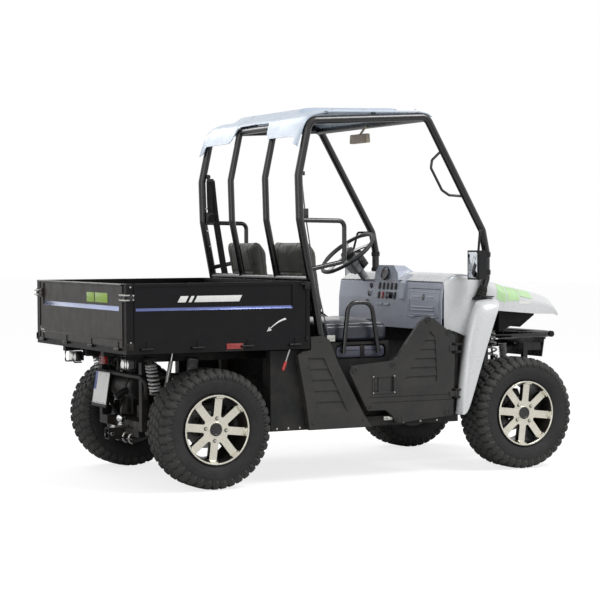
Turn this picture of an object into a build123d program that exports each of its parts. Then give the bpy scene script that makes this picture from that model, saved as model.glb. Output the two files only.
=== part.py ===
from build123d import *
from math import cos, hypot, pi, sin
import os

# A side-by-side utility vehicle: two seats under a tube cage, a tilting bed with three drop sides,
# and four independently hung wheels.  Millimetres, X forward, Y to the left, Z up.
# While it is modelled, x = 0 is the rear axle and z = 0 is the ground.  Every part is moved at the
# end so that the origin lies on the ground half way along the vehicle.

# ---------------------------------------------------------------- driving dimensions
WHEELBASE = 1952
REAR_OVERHANG = 530      # rear axle to the tailgate's hinge line
FRONT_OVERHANG = 508     # front axle to the bumper tube
TRACK_REAR = 1200        # between the wheels' middle planes
TRACK_FRONT = 1270

TYRE_R = 325             # to the lugs' tips
TYRE_W = 250
TREAD_W = 216
LUG_DEPTH = 12
LUG_W = 62               # along the axle
LUG_COUNT = 24
BEAD_R = 178
BEAD_W = 190
RIM_LIP_R = 187
RIM_LIP_W = 17
RIM_WALL = 11
RIM_FACE = 88            # spokes' outer face, out from the wheel's middle plane
SPOKE_COUNT = 8
SPOKE_TURN = 6.5         # degrees from upright
SPOKE_W = 48
SPOKE_T = 30
HUB_R = 72
HUB_CAP_R = 35
STUB_R = 20              # stub axle that carries a wheel

RAIL_Y = 220             # chassis rail, middle
RAIL_W = 40
RAIL_H = 50
RAIL_Z = 292             # chassis rail, underside
BAR = 40                 # other frame bars, square
SKIN = 4                 # plastic panels
DOOR_T = 26
PANEL_ROUND = 14         # corners of doors and quarter panels
LOUVRE_DEPTH = 8
SEAT = 0.3               # between pieces that sit on or in each other
RUN = 0.3                # round a pin or shaft, and beside an eye
GAP = 8                  # beside a moving panel

BODY_Y = 620             # side of the body under the hood
FLOOR_Y = 596            # half width of the floor
SILL_Y = 655             # outer face of the sills
DOOR_Y = 668             # inner face of the doors
PANEL_Y = 690            # outer face of the quarter panels
FENDER_Y = 735           # outer face of the front fenders' blades

TUBE = 45                # cage tube
CAGE_Y = 645
UPRIGHT_Y = 230          # the cage's two inner rear uprights
ROOF_Y = 655
ROOF_PADS = (700, 1000, WHEELBASE - 662)     # rubber pads between roof and cage
PAD_R = 15
ROOF_FLAP_Y = 590        # inner edge of the roof's rear corner flaps
VENT_HALF = 200          # the cut-out in the roof's rear slope
VENT_TOP = 1998

BED_FRONT = 560
BED_Y = 705
BED_FLOOR = 757          # underside of the bed's floor
BED_FLOOR_T = 18
BED_TOP = 1109
BED_WALL = 23
POST = 40                # rear corner posts
CREASE_Z = 966           # foot of the sloping ledge pressed into sides and tailgate
CREASE_H = 13
CREASE_DEPTH = 6
CREASE_MARGIN = 16       # below the top edge
EDGE_RAIL = (28, 16)     # under the edge of the bed's floor: width, height
LATCH_Z = 1037
LATCH_BAR_R = 5
LATCH_SPACING = 26       # between a latch's two bars
HINGE_R = 8              # hinge barrels of the drop sides
HINGE_PIN_R = 4
TILT_X = -350            # bed's tilt axis
TILT_Z = 700
TILT_PIN_R = 10
TILT_EYE_R = 18
BED_RAIL_Y = 300
BED_RAIL_H = 45
STRUT_Y = 345
STRUT_FOOT = (-165, 400)
STRUT_HEAD = (-100, 735)

RECEIVER = 51            # square inside of the hitch receiver
RECEIVER_WALL = 6.5
RECEIVER_PIN_R = 8
RECEIVER_X = (-355, -200)
RECEIVER_PIN_X = -338    # clear of the wheels beside it
HITCH_BAR_X = -262       # rear face of the bar under the rails
HOOP_TUBE = 26           # the hoop over the hitch
BALL_X = -270
BALL_PLATE = (-318, -240) # rear and front edge of the plate under the ball
LAMP_DEPTH = 40
LAMP_Z = (642, 700)
LAMP_PLATE = 6           # thickness of the bracket behind a lamp
LAMP_ARM = (33, 48)      # sides of the middle lamp's arm, from the lamp's inner edge
LAMPS = ((345, 470, -412), (62, 142, -345))      # two to each side and one single: inner y, outer y, rear x
PLATE = (230, 200)       # number plate's width and height
PLATE_LEAN = 30          # its foot lies this much further back than its top
FAIRLEAD = 124           # between the two bolt holes in the bumper's face plate
FAIRLEAD_R = 5
BALL_R = 25

KING_Y = 520             # steering axis of a front wheel
KING_R = 24
KING_PIN_R = 10
STEER_ARM = 110

SEAT_MID_Y = 315          # middle of a seat, to either side
SEAT_W = 540
BACK_W = 420
WHEEL_HUB = (WHEELBASE - 588, 330, 1256)     # steering wheel's centre
COLUMN_FOOT = (WHEELBASE - 449, 330, 1079)
STEERING_WHEEL_R = 187
RIM_GRIP_R = 13
SHROUD = (120, 104)      # across the steering column: to the sides, up and down
SHROUD_SPAN = (42, 128)  # along the column, from the steering wheel


# ---------------------------------------------------------------- helpers
PARTS = {}


def keep(name, shape):
    PARTS[name] = shape


def block(x0, x1, y0, y1, z0, z1):
    """A box between two opposite corners."""
    box = Box(abs(x1 - x0), abs(y1 - y0), abs(z1 - z0))
    return Pos((x0 + x1) / 2, (y0 + y1) / 2, (z0 + z1) / 2) * box


def both(shape):
    """The shape and its mirror image on the other side."""
    return Part() + [shape, mirror(shape, about=Plane.XZ)]


def rod(start, end, radius):
    """A round bar between two points."""
    start, end = Vector(*start), Vector(*end)
    plane = Plane(origin=start, z_dir=end - start)
    return extrude(plane * Circle(radius), amount=(end - start).length)


def pipe(points, diameter, bend):
    """A bent tube along a run of points, with one bend radius."""
    path = FilletPolyline(*points, radius=bend)
    return sweep((path ^ 0) * Circle(diameter / 2), path=path)


def side_plane(y):
    """A plane at y whose own x and y are the vehicle's X and Z; its normal points to -Y."""
    return Plane(origin=(0, y, 0), x_dir=(1, 0, 0), z_dir=(0, -1, 0))


def plate(points, y_low, y_high, round_r=0):
    """A flat piece with an outline in X and Z, between two distances to the left."""
    if round_r:
        outline = FilletPolyline(*points, radius=round_r, close=True)
    else:
        outline = Polyline(*points, close=True)
    return extrude(side_plane(y_high) * make_face(outline), amount=y_high - y_low)


def prism(points, x_low, x_high, round_r=0):
    """A bar along X with an outline in Y and Z."""
    if round_r:
        outline = FilletPolyline(*points, radius=round_r, close=True)
    else:
        outline = Polyline(*points, close=True)
    plane = Plane(origin=(x_low, 0, 0), x_dir=(0, 1, 0), z_dir=(1, 0, 0))
    return extrude(plane * make_face(outline), amount=x_high - x_low)


def louvres(outline, z_low, z_high, count, outer_y):
    """What is cut from a left panel's outer face inside an outline: slats that each lean in towards their top."""
    pitch = (z_high - z_low) / count
    x_low, x_high = min(x for x, z in outline), max(x for x, z in outline)
    teeth = []
    for index in range(count):
        z = z_low + index * pitch
        tooth = [(outer_y - LOUVRE_DEPTH / 4, z), (outer_y - LOUVRE_DEPTH, z + pitch), (outer_y + 1, z + pitch),
                 (outer_y + 1, z)]
        teeth.append(prism(tooth, x_low, x_high))
    return (Part() + teeth) & plate(outline, outer_y - LOUVRE_DEPTH - 1, outer_y + 1)


def ribbon(points, thickness):
    """The outline of a strip of one thickness that lies to the right of a run of points."""
    normals = []
    for (x0, z0), (x1, z1) in zip(points, points[1:]):
        length = hypot(x1 - x0, z1 - z0)
        normals.append(((z1 - z0) / length, -(x1 - x0) / length))
    offset = []
    for index, (x, z) in enumerate(points):
        before = normals[max(index - 1, 0)]
        after = normals[min(index, len(normals) - 1)]
        share = 1 + before[0] * after[0] + before[1] * after[1]
        offset.append((x + thickness * (before[0] + after[0]) / share,
                       z + thickness * (before[1] + after[1]) / share))
    return list(points) + offset[::-1]


def front(points):
    """Points given from the front axle, moved to the frame that starts at the rear axle."""
    return [(WHEELBASE + point[0],) + tuple(point[1:]) for point in points]


# ---------------------------------------------------------------- wheels
def star(tip_r, root_r, count, tip_share):
    """A closed outline with count teeth, whose flat tops lie tip_r from the middle."""
    points = []
    pitch = 2 * pi / count
    corner_r = tip_r / cos(tip_share * pitch / 2)
    for tooth in range(count):
        middle = tooth * pitch
        for radius, share in ((root_r, -0.5 + 0.06), (corner_r, -tip_share / 2),
                              (corner_r, tip_share / 2), (root_r, 0.5 - 0.06)):
            angle = middle + share * pitch
            points.append((radius * sin(angle), -radius * cos(angle)))
    return points


def ring_stack(layers, sides):
    """Many-sided cones, one on the next: each layer is (radius, distance along the axle)."""
    pieces = []
    for (r0, y0), (r1, y1) in zip(layers, layers[1:]):
        low = Plane(origin=(0, 0, y0)) * RegularPolygon(r0, sides)
        high = Plane(origin=(0, 0, y1)) * RegularPolygon(r1, sides)
        pieces.append(loft([low, high], ruled=True))
    return Part() + pieces


def tyre():
    """A tyre about Z with its middle plane at z = 0: a faceted carcass and two rows of shoulder lugs."""
    half_tread, half_width = TREAD_W / 2, TYRE_W / 2
    half_bead = BEAD_W / 2 - SEAT
    root = TYRE_R - LUG_DEPTH
    bead, bulge = (RIM_LIP_R + 4, half_bead), (0.76 * TYRE_R, half_width)
    layers = [bulge, (0.9 * TYRE_R, half_tread + 8), (root, half_tread - 14)]
    body = ring_stack([(r, -y) for r, y in layers] + [(r, y) for r, y in reversed(layers)], LUG_COUNT)
    for side in (-1, 1):
        start = side * (half_tread - LUG_W)
        teeth = make_face(Polyline(*star(TYRE_R, root - 6, LUG_COUNT, 0.52), close=True))
        lugs = extrude(Plane(origin=(0, 0, min(start, side * half_tread))) * teeth, amount=LUG_W)
        body += lugs
    for side in (-1, 1):
        body -= ring_stack([(bead[0], side * bead[1]), (bulge[0] + 0.1, side * (bulge[1] + 0.1))], LUG_COUNT)
    bore_r = (BEAD_R + SEAT) / cos(pi / LUG_COUNT)
    bore = extrude(Plane(origin=(0, 0, -TYRE_W)) * RegularPolygon(bore_r, LUG_COUNT), amount=2 * TYRE_W)
    return body - bore


def rim():
    """A cast wheel about Z, its face towards +Z: barrel, lips, hub and straight spokes."""
    half = BEAD_W / 2
    inner = BEAD_R - RIM_WALL
    profile = Polyline((inner, -half - 8), (RIM_LIP_R, -half - 8), (RIM_LIP_R, -half), (BEAD_R, -half),
                       (BEAD_R, half), (RIM_LIP_R, half), (RIM_LIP_R, half + RIM_LIP_W),
                       (inner + 5, half + RIM_LIP_W), (inner, half), close=True)
    barrel = revolve(Plane.XZ * make_face(profile), axis=Axis.Z)
    hub = extrude(Plane(origin=(0, 0, RIM_FACE - SPOKE_T)) * Circle(HUB_R), amount=SPOKE_T)
    hub += extrude(Plane(origin=(0, 0, 30)) * Circle(HUB_R - 14), amount=RIM_FACE - 40)
    spokes = []
    for index in range(SPOKE_COUNT):
        bar = block(HUB_R - 12, inner + 3, -SPOKE_W / 2, SPOKE_W / 2, RIM_FACE - SPOKE_T, RIM_FACE)
        spokes.append(Rot(0, 0, SPOKE_TURN + index * 360 / SPOKE_COUNT) * bar)
    stub = extrude(Plane(origin=(0, 0, 0)) * Circle(STUB_R + RUN), amount=RIM_FACE - 14)
    return Part() + [barrel, hub] + spokes - stub


WHEELS = (
    # name, x, y of the middle plane, side it faces
    ("rear_left", 0, TRACK_REAR / 2, 1),
    ("rear_right", 0, -TRACK_REAR / 2, -1),
    ("front_left", WHEELBASE, TRACK_FRONT / 2, 1),
    ("front_right", WHEELBASE, -TRACK_FRONT / 2, -1),
)

tyre_shape, rim_shape = tyre(), rim()
for name, x, y, side in WHEELS:
    place = Pos(x, y, TYRE_R) * Rot(-90 * side, 0, 0)
    keep("tyre_" + name, place * tyre_shape)
    keep("rim_" + name, place * rim_shape)


# ---------------------------------------------------------------- chassis frame
RAIL_TOP = RAIL_Z + RAIL_H
RAIL_IN, RAIL_OUT = RAIL_Y - RAIL_W / 2, RAIL_Y + RAIL_W / 2
RAIL_REAR, RAIL_FRONT = -275, WHEELBASE + 330
BED_RAIL_Z = BED_FLOOR - BED_RAIL_H
LEG_X = (RAIL_REAR, 480)  # rear faces of the legs that carry the bed's rest
TOP_RAIL = BED_RAIL_Z - SEAT
TOP_IN, TOP_OUT = BED_RAIL_Y - BAR / 2, BED_RAIL_Y + BAR / 2
TOWER_Z = 830            # top of the front shock towers' legs
FIREWALL = WHEELBASE - 352
FOOT_X = WHEELBASE - 250 # cage foot on the cowl

frame_bars = [
    block(RAIL_REAR, RAIL_FRONT, RAIL_IN, RAIL_OUT, RAIL_Z, RAIL_TOP),
    # the bed's rest
    block(TILT_X + 30, 520, TOP_IN, TOP_OUT, TOP_RAIL - BAR, TOP_RAIL),
    # ears beside the bed's hinge eyes
    block(TILT_X - 22, TILT_X + 100, TOP_IN - 15, TOP_IN, TILT_Z - 22, TILT_Z + 22),
    block(TILT_X - 22, TILT_X + 100, TOP_OUT, TOP_OUT + 15, TILT_Z - 22, TILT_Z + 22),
    # foot of the bed's strut
    block(STRUT_FOOT[0] - 15, STRUT_FOOT[0] + 15, RAIL_OUT, STRUT_Y - 16, RAIL_TOP - 20, RAIL_TOP),
    block(STRUT_FOOT[0] - 15, STRUT_FOOT[0] + 15, STRUT_Y - 22, STRUT_Y - 16, RAIL_TOP - 20, STRUT_FOOT[1] + 15),
    # outriggers under the cage's rear feet
    block(665, 725, RAIL_OUT, CAGE_Y + TUBE / 2, RAIL_Z, RAIL_TOP),
    # front towers and the posts of the firewall hoop
    block(WHEELBASE - 25, WHEELBASE + 25, RAIL_IN, RAIL_OUT, RAIL_TOP, TOWER_Z),
    block(FOOT_X - 40, FOOT_X, RAIL_IN, RAIL_OUT, RAIL_TOP, TOWER_Z),
    block(FOOT_X - 40, FOOT_X, BODY_Y - SKIN - BAR - 10, BODY_Y - SKIN - 10, TOWER_Z + BAR, 985),
    block(FOOT_X - 40, FOOT_X + 30, BODY_Y - 60, CAGE_Y + TUBE / 2, 985, 1000),
]
for x in LEG_X:
    frame_bars.append(block(x, x + BAR, TOP_IN, TOP_OUT, RAIL_TOP, TOP_RAIL - BAR))
    frame_bars.append(block(x, x + BAR, RAIL_OUT, TOP_OUT, RAIL_Z, RAIL_TOP))
frame = Part()
for bar in frame_bars:
    frame += both(bar)
CROSS_MEMBERS = (
    # x of the rear face, z of the underside, half width
    (RAIL_REAR + 40, RAIL_Z, RAIL_IN), (-170, RAIL_Z, RAIL_IN), (130, RAIL_Z, RAIL_IN), (480, RAIL_Z, RAIL_IN),
    (675, RAIL_Z, RAIL_IN), (1200, RAIL_Z, RAIL_IN), (WHEELBASE - 170, RAIL_Z, RAIL_IN),
    (WHEELBASE + 130, RAIL_Z, RAIL_IN), (WHEELBASE + 290, RAIL_Z, RAIL_IN),
    (RAIL_REAR, TOP_RAIL - BAR, TOP_IN), (480, TOP_RAIL - BAR, TOP_IN),
    (WHEELBASE - 20, TOWER_Z, 380), (FOOT_X - 40, TOWER_Z, BODY_Y - SKIN - 10),
)
for x, z, half in CROSS_MEMBERS:
    frame += block(x, x + BAR, -half, half, z, z + BAR)
frame += both(rod((TILT_X, TOP_IN - 15, TILT_Z), (TILT_X, TOP_OUT + 15, TILT_Z), TILT_PIN_R))
frame += both(rod((STRUT_FOOT[0], STRUT_Y - 22, STRUT_FOOT[1]), (STRUT_FOOT[0], STRUT_Y + 12, STRUT_FOOT[1]), 6))

# the floor, its rear wall and the toe board, in one folded sheet
floor_line = [(664, 860), (664, RAIL_TOP)] + front([(-460, RAIL_TOP), (-430, 450), (-352, 720), (-352, 990)])
keep("floor_pan", plate(ribbon(floor_line[::-1], SKIN), -FLOOR_Y, FLOOR_Y))

# engine under the seats, final drives and half-shafts
keep("engine_block", block(740, 1060, -250, 250, RAIL_TOP + SKIN + SEAT, 700))


def final_drive(x, case_rear, shaft_end):
    case = block(x - case_rear, x + 130, -110, 110, TYRE_R - 60, TYRE_R + 75)
    shaft = rod((x, 110, TYRE_R), (x, shaft_end, TYRE_R), 13)
    boot = rod((x, shaft_end - 75, TYRE_R), (x, shaft_end - 20, TYRE_R), 28)
    return case + both(shaft + boot)


# ---------------------------------------------------------------- suspension
def link(start, end, diameter=28):
    """One tube of a suspension arm on the left side."""
    return rod(start, end, diameter / 2)


def shock(foot, head, body_r=16, spring_r=32, coils=7):
    """A damper with its spring as a stack of round coils, between two points."""
    foot, head = Vector(*foot), Vector(*head)
    length = (head - foot).length
    plane = Plane(origin=foot, z_dir=head - foot)
    start, stop = 0.2 * length, 0.86 * length
    pitch = (stop - start) / coils
    points = [(0, 0), (body_r, 0), (body_r, start)]
    for coil in range(coils):
        z = start + coil * pitch
        points += [(spring_r, z), (spring_r, z + 0.45 * pitch), (body_r, z + 0.45 * pitch), (body_r, z + pitch)]
    points += [(body_r, length), (0, length)]
    return plane * revolve(Plane.XZ * make_face(Polyline(*points, close=True)), axis=Axis.Z)


HUB_IN = 470             # inner face of the rear hub carriers
REAR_LINKS = (
    # inner x, inner height over the axle, outer x, outer height over the axle
    (-250, -13, -30, -63), (130, -13, 20, -63), (-100, 100, -15, 85), (100, 100, 15, 85),
)
rear_arms = Part()
for x0, z0, x1, z1 in REAR_LINKS:
    rear_arms += both(link((x0, RAIL_OUT - 4, TYRE_R + z0), (x1, HUB_IN + 6, TYRE_R + z1)))
keep("rear_arms", rear_arms)
frame += both(block(-115, 115, RAIL_IN, RAIL_OUT, RAIL_TOP, TYRE_R + 120))

carrier = block(-45, 45, HUB_IN, HUB_IN + 45, TYRE_R - 95, TYRE_R + 105)
carrier += rod((0, HUB_IN + 45, TYRE_R), (0, TRACK_REAR / 2 + RIM_FACE - 20, TYRE_R), STUB_R)
carrier += rod((0, HUB_IN + 45, TYRE_R), (0, TRACK_REAR / 2 - 6, TYRE_R), 46)
keep("rear_hubs", both(carrier))
keep("rear_drive", final_drive(0, 130, HUB_IN))

SHOCK_REAR = ((-185, 400, 300), (-255, 396, TOP_RAIL - 32))
SHOCK_FRONT = ((WHEELBASE, 436, 452), (WHEELBASE, 350, TOWER_Z))
rear_shocks = both(shock(*SHOCK_REAR))
keep("rear_shocks", rear_shocks)
frame += both(block(-275, -235, TOP_OUT, 425, TOP_RAIL - 32, TOP_RAIL - 12))
keep("front_shocks", both(shock(*SHOCK_FRONT)))

EYE_LOW, EYE_HIGH = TYRE_R - 120, TYRE_R + 102
FRONT_LINKS = (
    # inner x from the axle, inner height over the axle, eye z
    (-150, -11, EYE_LOW + 9), (150, -11, EYE_LOW + 9), (-95, 120, EYE_HIGH + 9), (95, 120, EYE_HIGH + 9),
)
front_arms = Part()
for x0, z0, z1 in FRONT_LINKS:
    front_arms += both(link((WHEELBASE + x0, RAIL_OUT - 4, TYRE_R + z0), (WHEELBASE, KING_Y - 12, z1)))
for z in (EYE_LOW, EYE_HIGH):
    eye = rod((WHEELBASE, KING_Y, z), (WHEELBASE, KING_Y, z + 18), 22)
    front_arms += both(eye)
for z in (EYE_LOW, EYE_HIGH):
    hole = rod((WHEELBASE, KING_Y, z - 30), (WHEELBASE, KING_Y, z + 45), KING_PIN_R + RUN)
    front_arms -= both(hole)
front_arms -= both(rod((WHEELBASE, KING_Y, EYE_LOW + 18), (WHEELBASE, KING_Y, EYE_HIGH), KING_R + 5))
frame += both(block(WHEELBASE - 110, WHEELBASE + 110, RAIL_IN, RAIL_OUT, RAIL_TOP, TYRE_R + 140))

# steering knuckles
knuckle = rod((WHEELBASE, KING_Y, EYE_LOW + 18 + RUN), (WHEELBASE, KING_Y, EYE_HIGH - RUN), KING_R)
knuckle += rod((WHEELBASE, KING_Y, EYE_LOW - 4), (WHEELBASE, KING_Y, EYE_HIGH + 22), KING_PIN_R)
knuckle += rod((WHEELBASE, KING_Y, TYRE_R), (WHEELBASE, TRACK_FRONT / 2 + RIM_FACE - 20, TYRE_R), STUB_R)
knuckle += rod((WHEELBASE, KING_Y, TYRE_R), (WHEELBASE, TRACK_FRONT / 2 - 6, TYRE_R), 46)
knuckle += block(WHEELBASE - STEER_ARM - 12, WHEELBASE - 10, KING_Y - 12, KING_Y + 12, TYRE_R + 12, TYRE_R + 26)
keep("knuckle_left", knuckle)
keep("knuckle_right", mirror(knuckle, about=Plane.XZ))
keep("front_drive", final_drive(WHEELBASE, 85, KING_Y - KING_R - 6))

# steering rack: a sliding bar with its two rod ends, in a housing on the frame
RACK_X = WHEELBASE - STEER_ARM
rack = rod((RACK_X, -KING_Y, TYRE_R), (RACK_X, KING_Y, TYRE_R), 8)
rack += both(rod((RACK_X, KING_Y, TYRE_R - 10), (RACK_X, KING_Y, TYRE_R + 12 - 3), 13))
keep("steering_rack", rack)
frame += rod((RACK_X, -190, TYRE_R), (RACK_X, 190, TYRE_R), 19)
frame += block(RACK_X - 19, RACK_X + 19, -RAIL_IN, -150, RAIL_Z, TYRE_R + 19)
frame += block(RACK_X - 19, RACK_X + 19, 150, RAIL_IN, RAIL_Z, TYRE_R + 19)
frame -= rod((RACK_X, -400, TYRE_R), (RACK_X, 400, TYRE_R), 8 + RUN)
for x in (0, WHEELBASE):
    frame -= rod((x, -400, TYRE_R), (x, 400, TYRE_R), 17)
(side_in, side_out, side_x), (mid_in, mid_out, mid_x) = LAMPS
behind_side, behind_mid = side_x + LAMP_DEPTH, mid_x + LAMP_DEPTH
bracket_low = LAMP_Z[0] + 8
frame += both(block(behind_side, behind_side + LAMP_PLATE, TOP_OUT + 8, side_out, bracket_low, TILT_Z - 2))
frame += block(behind_mid, behind_mid + LAMP_PLATE, mid_in, mid_out, bracket_low, LAMP_Z[1])
frame += block(behind_mid + LAMP_PLATE, RAIL_REAR, mid_in + LAMP_ARM[0], mid_in + LAMP_ARM[1], bracket_low + 4,
               LAMP_Z[1])

# ---------------------------------------------------------------- rear hitch frame
HOOP_TOP, HOOP_FOOT = (-274, 381, 590), (-200, 225, RAIL_TOP - 7)     # on the left side
hoop = [HOOP_FOOT, HOOP_TOP] + [(x, -y, z) for x, y, z in (HOOP_TOP, HOOP_FOOT)]
hitch = pipe(hoop, HOOP_TUBE, 40)
outer = RECEIVER / 2 + RECEIVER_WALL
receiver_top = RAIL_Z
receiver_z = receiver_top - outer
hitch += block(HITCH_BAR_X, HITCH_BAR_X + BAR, -RAIL_OUT, RAIL_OUT, RAIL_Z - BAR, RAIL_Z)
hitch += block(RECEIVER_X[0], RECEIVER_X[1], -outer, outer, receiver_top - 2 * outer, receiver_top)
hitch -= block(RECEIVER_X[0] - 10, RECEIVER_X[1] - 8, -RECEIVER / 2, RECEIVER / 2, receiver_z - RECEIVER / 2,
               receiver_z + RECEIVER / 2)
hitch -= rod((RECEIVER_PIN_X, -outer - 10, receiver_z), (RECEIVER_PIN_X, outer + 10, receiver_z), RECEIVER_PIN_R)
keep("hitch_frame", hitch)
ball = block(*BALL_PLATE, -24, 24, receiver_top + SEAT, receiver_top + 12)
ball += rod((BALL_X, 0, receiver_top + 12), (BALL_X, 0, receiver_top + 40), 12)
ball += Pos(BALL_X, 0, receiver_top + 12 + 38) * Sphere(BALL_R)
keep("tow_ball", ball)

# ---------------------------------------------------------------- cage
CAGE_LINE = [(690, RAIL_TOP), (672, 720), (531, 1450), (524, 1690), (590, 1990)] + front(
    [(-612, 2030), (-237, 1385), (-211, 1260), (-211, 1110), (-250, 1000)])
cage_side = pipe([(x, CAGE_Y, z) for x, z in CAGE_LINE], TUBE, 60)
keep("cage_sides", both(cage_side))
upright_line = [(608, 1075), (531, 1450), (524, 1690), (590, 1990), (700, 2004)]
upright = pipe([(x, UPRIGHT_Y, z) for x, z in upright_line], TUBE - 7, 55)
cross = both(upright)
cross += rod((597, -CAGE_Y, 1120), (597, CAGE_Y, 1120), (TUBE - 7) / 2)
cross += rod((592, -CAGE_Y, 1975), (592, CAGE_Y, 1975), (TUBE - 7) / 2)
cross += rod((WHEELBASE - 625, -CAGE_Y, 2020), (WHEELBASE - 625, CAGE_Y, 2020), (TUBE - 7) / 2)
keep("cage_cross", cross)

# ---------------------------------------------------------------- roof
roof_line = [(528, 1905), (556, 1985), (600, 2030), (700, 2052)] + front([(-655, 2066), (-606, 2060), (-580, 2040)])
roof = plate(ribbon(roof_line, SKIN), -ROOF_Y, ROOF_Y)
roof += both(plate(ribbon([(512, 1856)] + roof_line[:2], SKIN), ROOF_FLAP_Y, ROOF_Y))
vent = [(-VENT_HALF - 30, 1880), (-VENT_HALF, VENT_TOP), (VENT_HALF, VENT_TOP), (VENT_HALF + 30, 1880)]
roof -= prism(vent, 480, 590)
CROWN = (
    # x, half width, height
    (625, 380, 2034), (690, 430, 2078), (WHEELBASE - 690, 430, 2091), (WHEELBASE - 628, 400, 2066),
)


def crown_section(x, half, z, drop):
    points = [(-half, 2010), (-half + 12, z - drop), (half - 12, z - drop), (half, 2010)]
    plane = Plane(origin=(x, 0, 0), x_dir=(0, 1, 0), z_dir=(1, 0, 0))
    return plane * make_face(Polyline(*points, close=True))


crown = loft([crown_section(x, half, z, 0) for x, half, z in CROWN], ruled=True)
crown -= loft([crown_section(x, half - 2 * SKIN, z, SKIN) for x, half, z in CROWN], ruled=True)
crown -= plate([(480, 1990)] + roof_line[2:5] + front([(-606, 2058), (-500, 2040), (-500, 1990)]), -ROOF_Y, ROOF_Y)
roof += crown
(rear_x, rear_z), (front_x, front_z) = CAGE_LINE[4:6]
(low_x, low_z), (high_x, high_z) = roof_line[3:5]
for x in ROOF_PADS:
    tube_top = rear_z + (x + PAD_R - rear_x) * (front_z - rear_z) / (front_x - rear_x) + TUBE / 2
    pad_top = low_z + (x - PAD_R - low_x) * (high_z - low_z) / (high_x - low_x) - SKIN / 2
    roof += both(rod((x, CAGE_Y - 8, tube_top + 2 * SEAT), (x, CAGE_Y - 8, pad_top), PAD_R))
keep("roof", roof)

# ---------------------------------------------------------------- bed
BED_REAR = -(REAR_OVERHANG - 2 * HINGE_R)
BED_DECK = BED_FLOOR + BED_FLOOR_T
bed = block(BED_REAR, BED_FRONT, -BED_Y, BED_Y, BED_FLOOR, BED_DECK)
bed += block(BED_FRONT - BED_WALL, BED_FRONT, -BED_Y, BED_Y, BED_DECK, BED_TOP)
bed += both(block(BED_REAR, BED_REAR + POST, BED_Y - POST, BED_Y, BED_DECK, BED_TOP))
bed += both(block(BED_REAR + 20, BED_FRONT - 30, TOP_IN, TOP_OUT, BED_RAIL_Z, BED_FLOOR))
edge_w, edge_h = EDGE_RAIL
bed += both(block(BED_REAR, BED_FRONT, BED_Y - edge_w, BED_Y, BED_FLOOR - edge_h, BED_FLOOR))
bed += block(BED_REAR, BED_REAR + edge_w, -BED_Y, BED_Y, BED_FLOOR - edge_h, BED_FLOOR)
bed += block(BED_FRONT - edge_w, BED_FRONT, -BED_Y, BED_Y, BED_FLOOR - edge_h, BED_FLOOR)
eye = rod((TILT_X, TOP_IN + RUN, TILT_Z), (TILT_X, TOP_OUT - RUN, TILT_Z), TILT_EYE_R)
eye += block(TILT_X - TILT_EYE_R, TILT_X + TILT_EYE_R, TOP_IN + RUN, TOP_OUT - RUN, TILT_Z, BED_RAIL_Z)
bed += both(eye)
bed -= both(rod((TILT_X, TOP_IN - 40, TILT_Z), (TILT_X, TOP_OUT + 40, TILT_Z), TILT_PIN_R + RUN))
head_x, head_z = STRUT_HEAD
for y in (STRUT_Y - 20, STRUT_Y + 12):
    bed += both(block(head_x - 18, head_x + 18, y, y + 8, head_z - 15, BED_FLOOR))

SIDE_AXIS_Y, SIDE_AXIS_Z = BED_Y + HINGE_R, BED_FLOOR + 9
GATE_AXIS_X = BED_REAR - HINGE_R
SIDE_SPAN = (BED_REAR + POST + 4, BED_FRONT - BED_WALL - 4)
GATE_HALF = BED_Y - POST - 4
BARREL = 34


def barrels(span_low, span_high, count):
    """Places of a hinge line's barrels: each pair is the start of the fixed and of the moving barrel."""
    step = (span_high - span_low - 4 * BARREL) / (count - 1)
    return [span_low + BARREL + index * step for index in range(count)]


def crease(face, out):
    """Outline of the pressing that sets the upper part of a side back, behind a sloping ledge."""
    back = face - out * CREASE_DEPTH
    return [(face + out, CREASE_Z), (face, CREASE_Z), (back, CREASE_Z + CREASE_H),
            (back, BED_TOP - CREASE_MARGIN), (face + out, BED_TOP - CREASE_MARGIN)]


def side_panel():
    """The left drop side with its half of the hinge line."""
    panel = block(*SIDE_SPAN, BED_Y - BED_WALL, BED_Y, BED_DECK + SEAT, BED_TOP)
    panel -= prism(crease(BED_Y, 1), SIDE_SPAN[0] + 10, SIDE_SPAN[1] - 80)
    for x in barrels(*SIDE_SPAN, 4):
        start = x + BARREL + SEAT
        panel += block(start, start + BARREL, BED_Y, BED_Y + 4, SIDE_AXIS_Z, SIDE_AXIS_Z + 40)
        panel += rod((start, SIDE_AXIS_Y, SIDE_AXIS_Z), (start + BARREL, SIDE_AXIS_Y, SIDE_AXIS_Z), HINGE_R)
        panel -= rod((start - 5, SIDE_AXIS_Y, SIDE_AXIS_Z), (start + BARREL + 5, SIDE_AXIS_Y, SIDE_AXIS_Z),
                     HINGE_PIN_R + RUN)
    return panel


left_panel = side_panel()
keep("bed_side_left", left_panel)
keep("bed_side_right", mirror(left_panel, about=Plane.XZ))
for x in barrels(*SIDE_SPAN, 4):
    fixed = block(x, x + BARREL, BED_Y - 2, SIDE_AXIS_Y, SIDE_AXIS_Z - 6, SIDE_AXIS_Z + 6)
    fixed += rod((x, SIDE_AXIS_Y, SIDE_AXIS_Z), (x + BARREL, SIDE_AXIS_Y, SIDE_AXIS_Z), HINGE_R)
    fixed += rod((x, SIDE_AXIS_Y, SIDE_AXIS_Z), (x + 2 * BARREL + 4, SIDE_AXIS_Y, SIDE_AXIS_Z), HINGE_PIN_R)
    bed += both(fixed)

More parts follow.
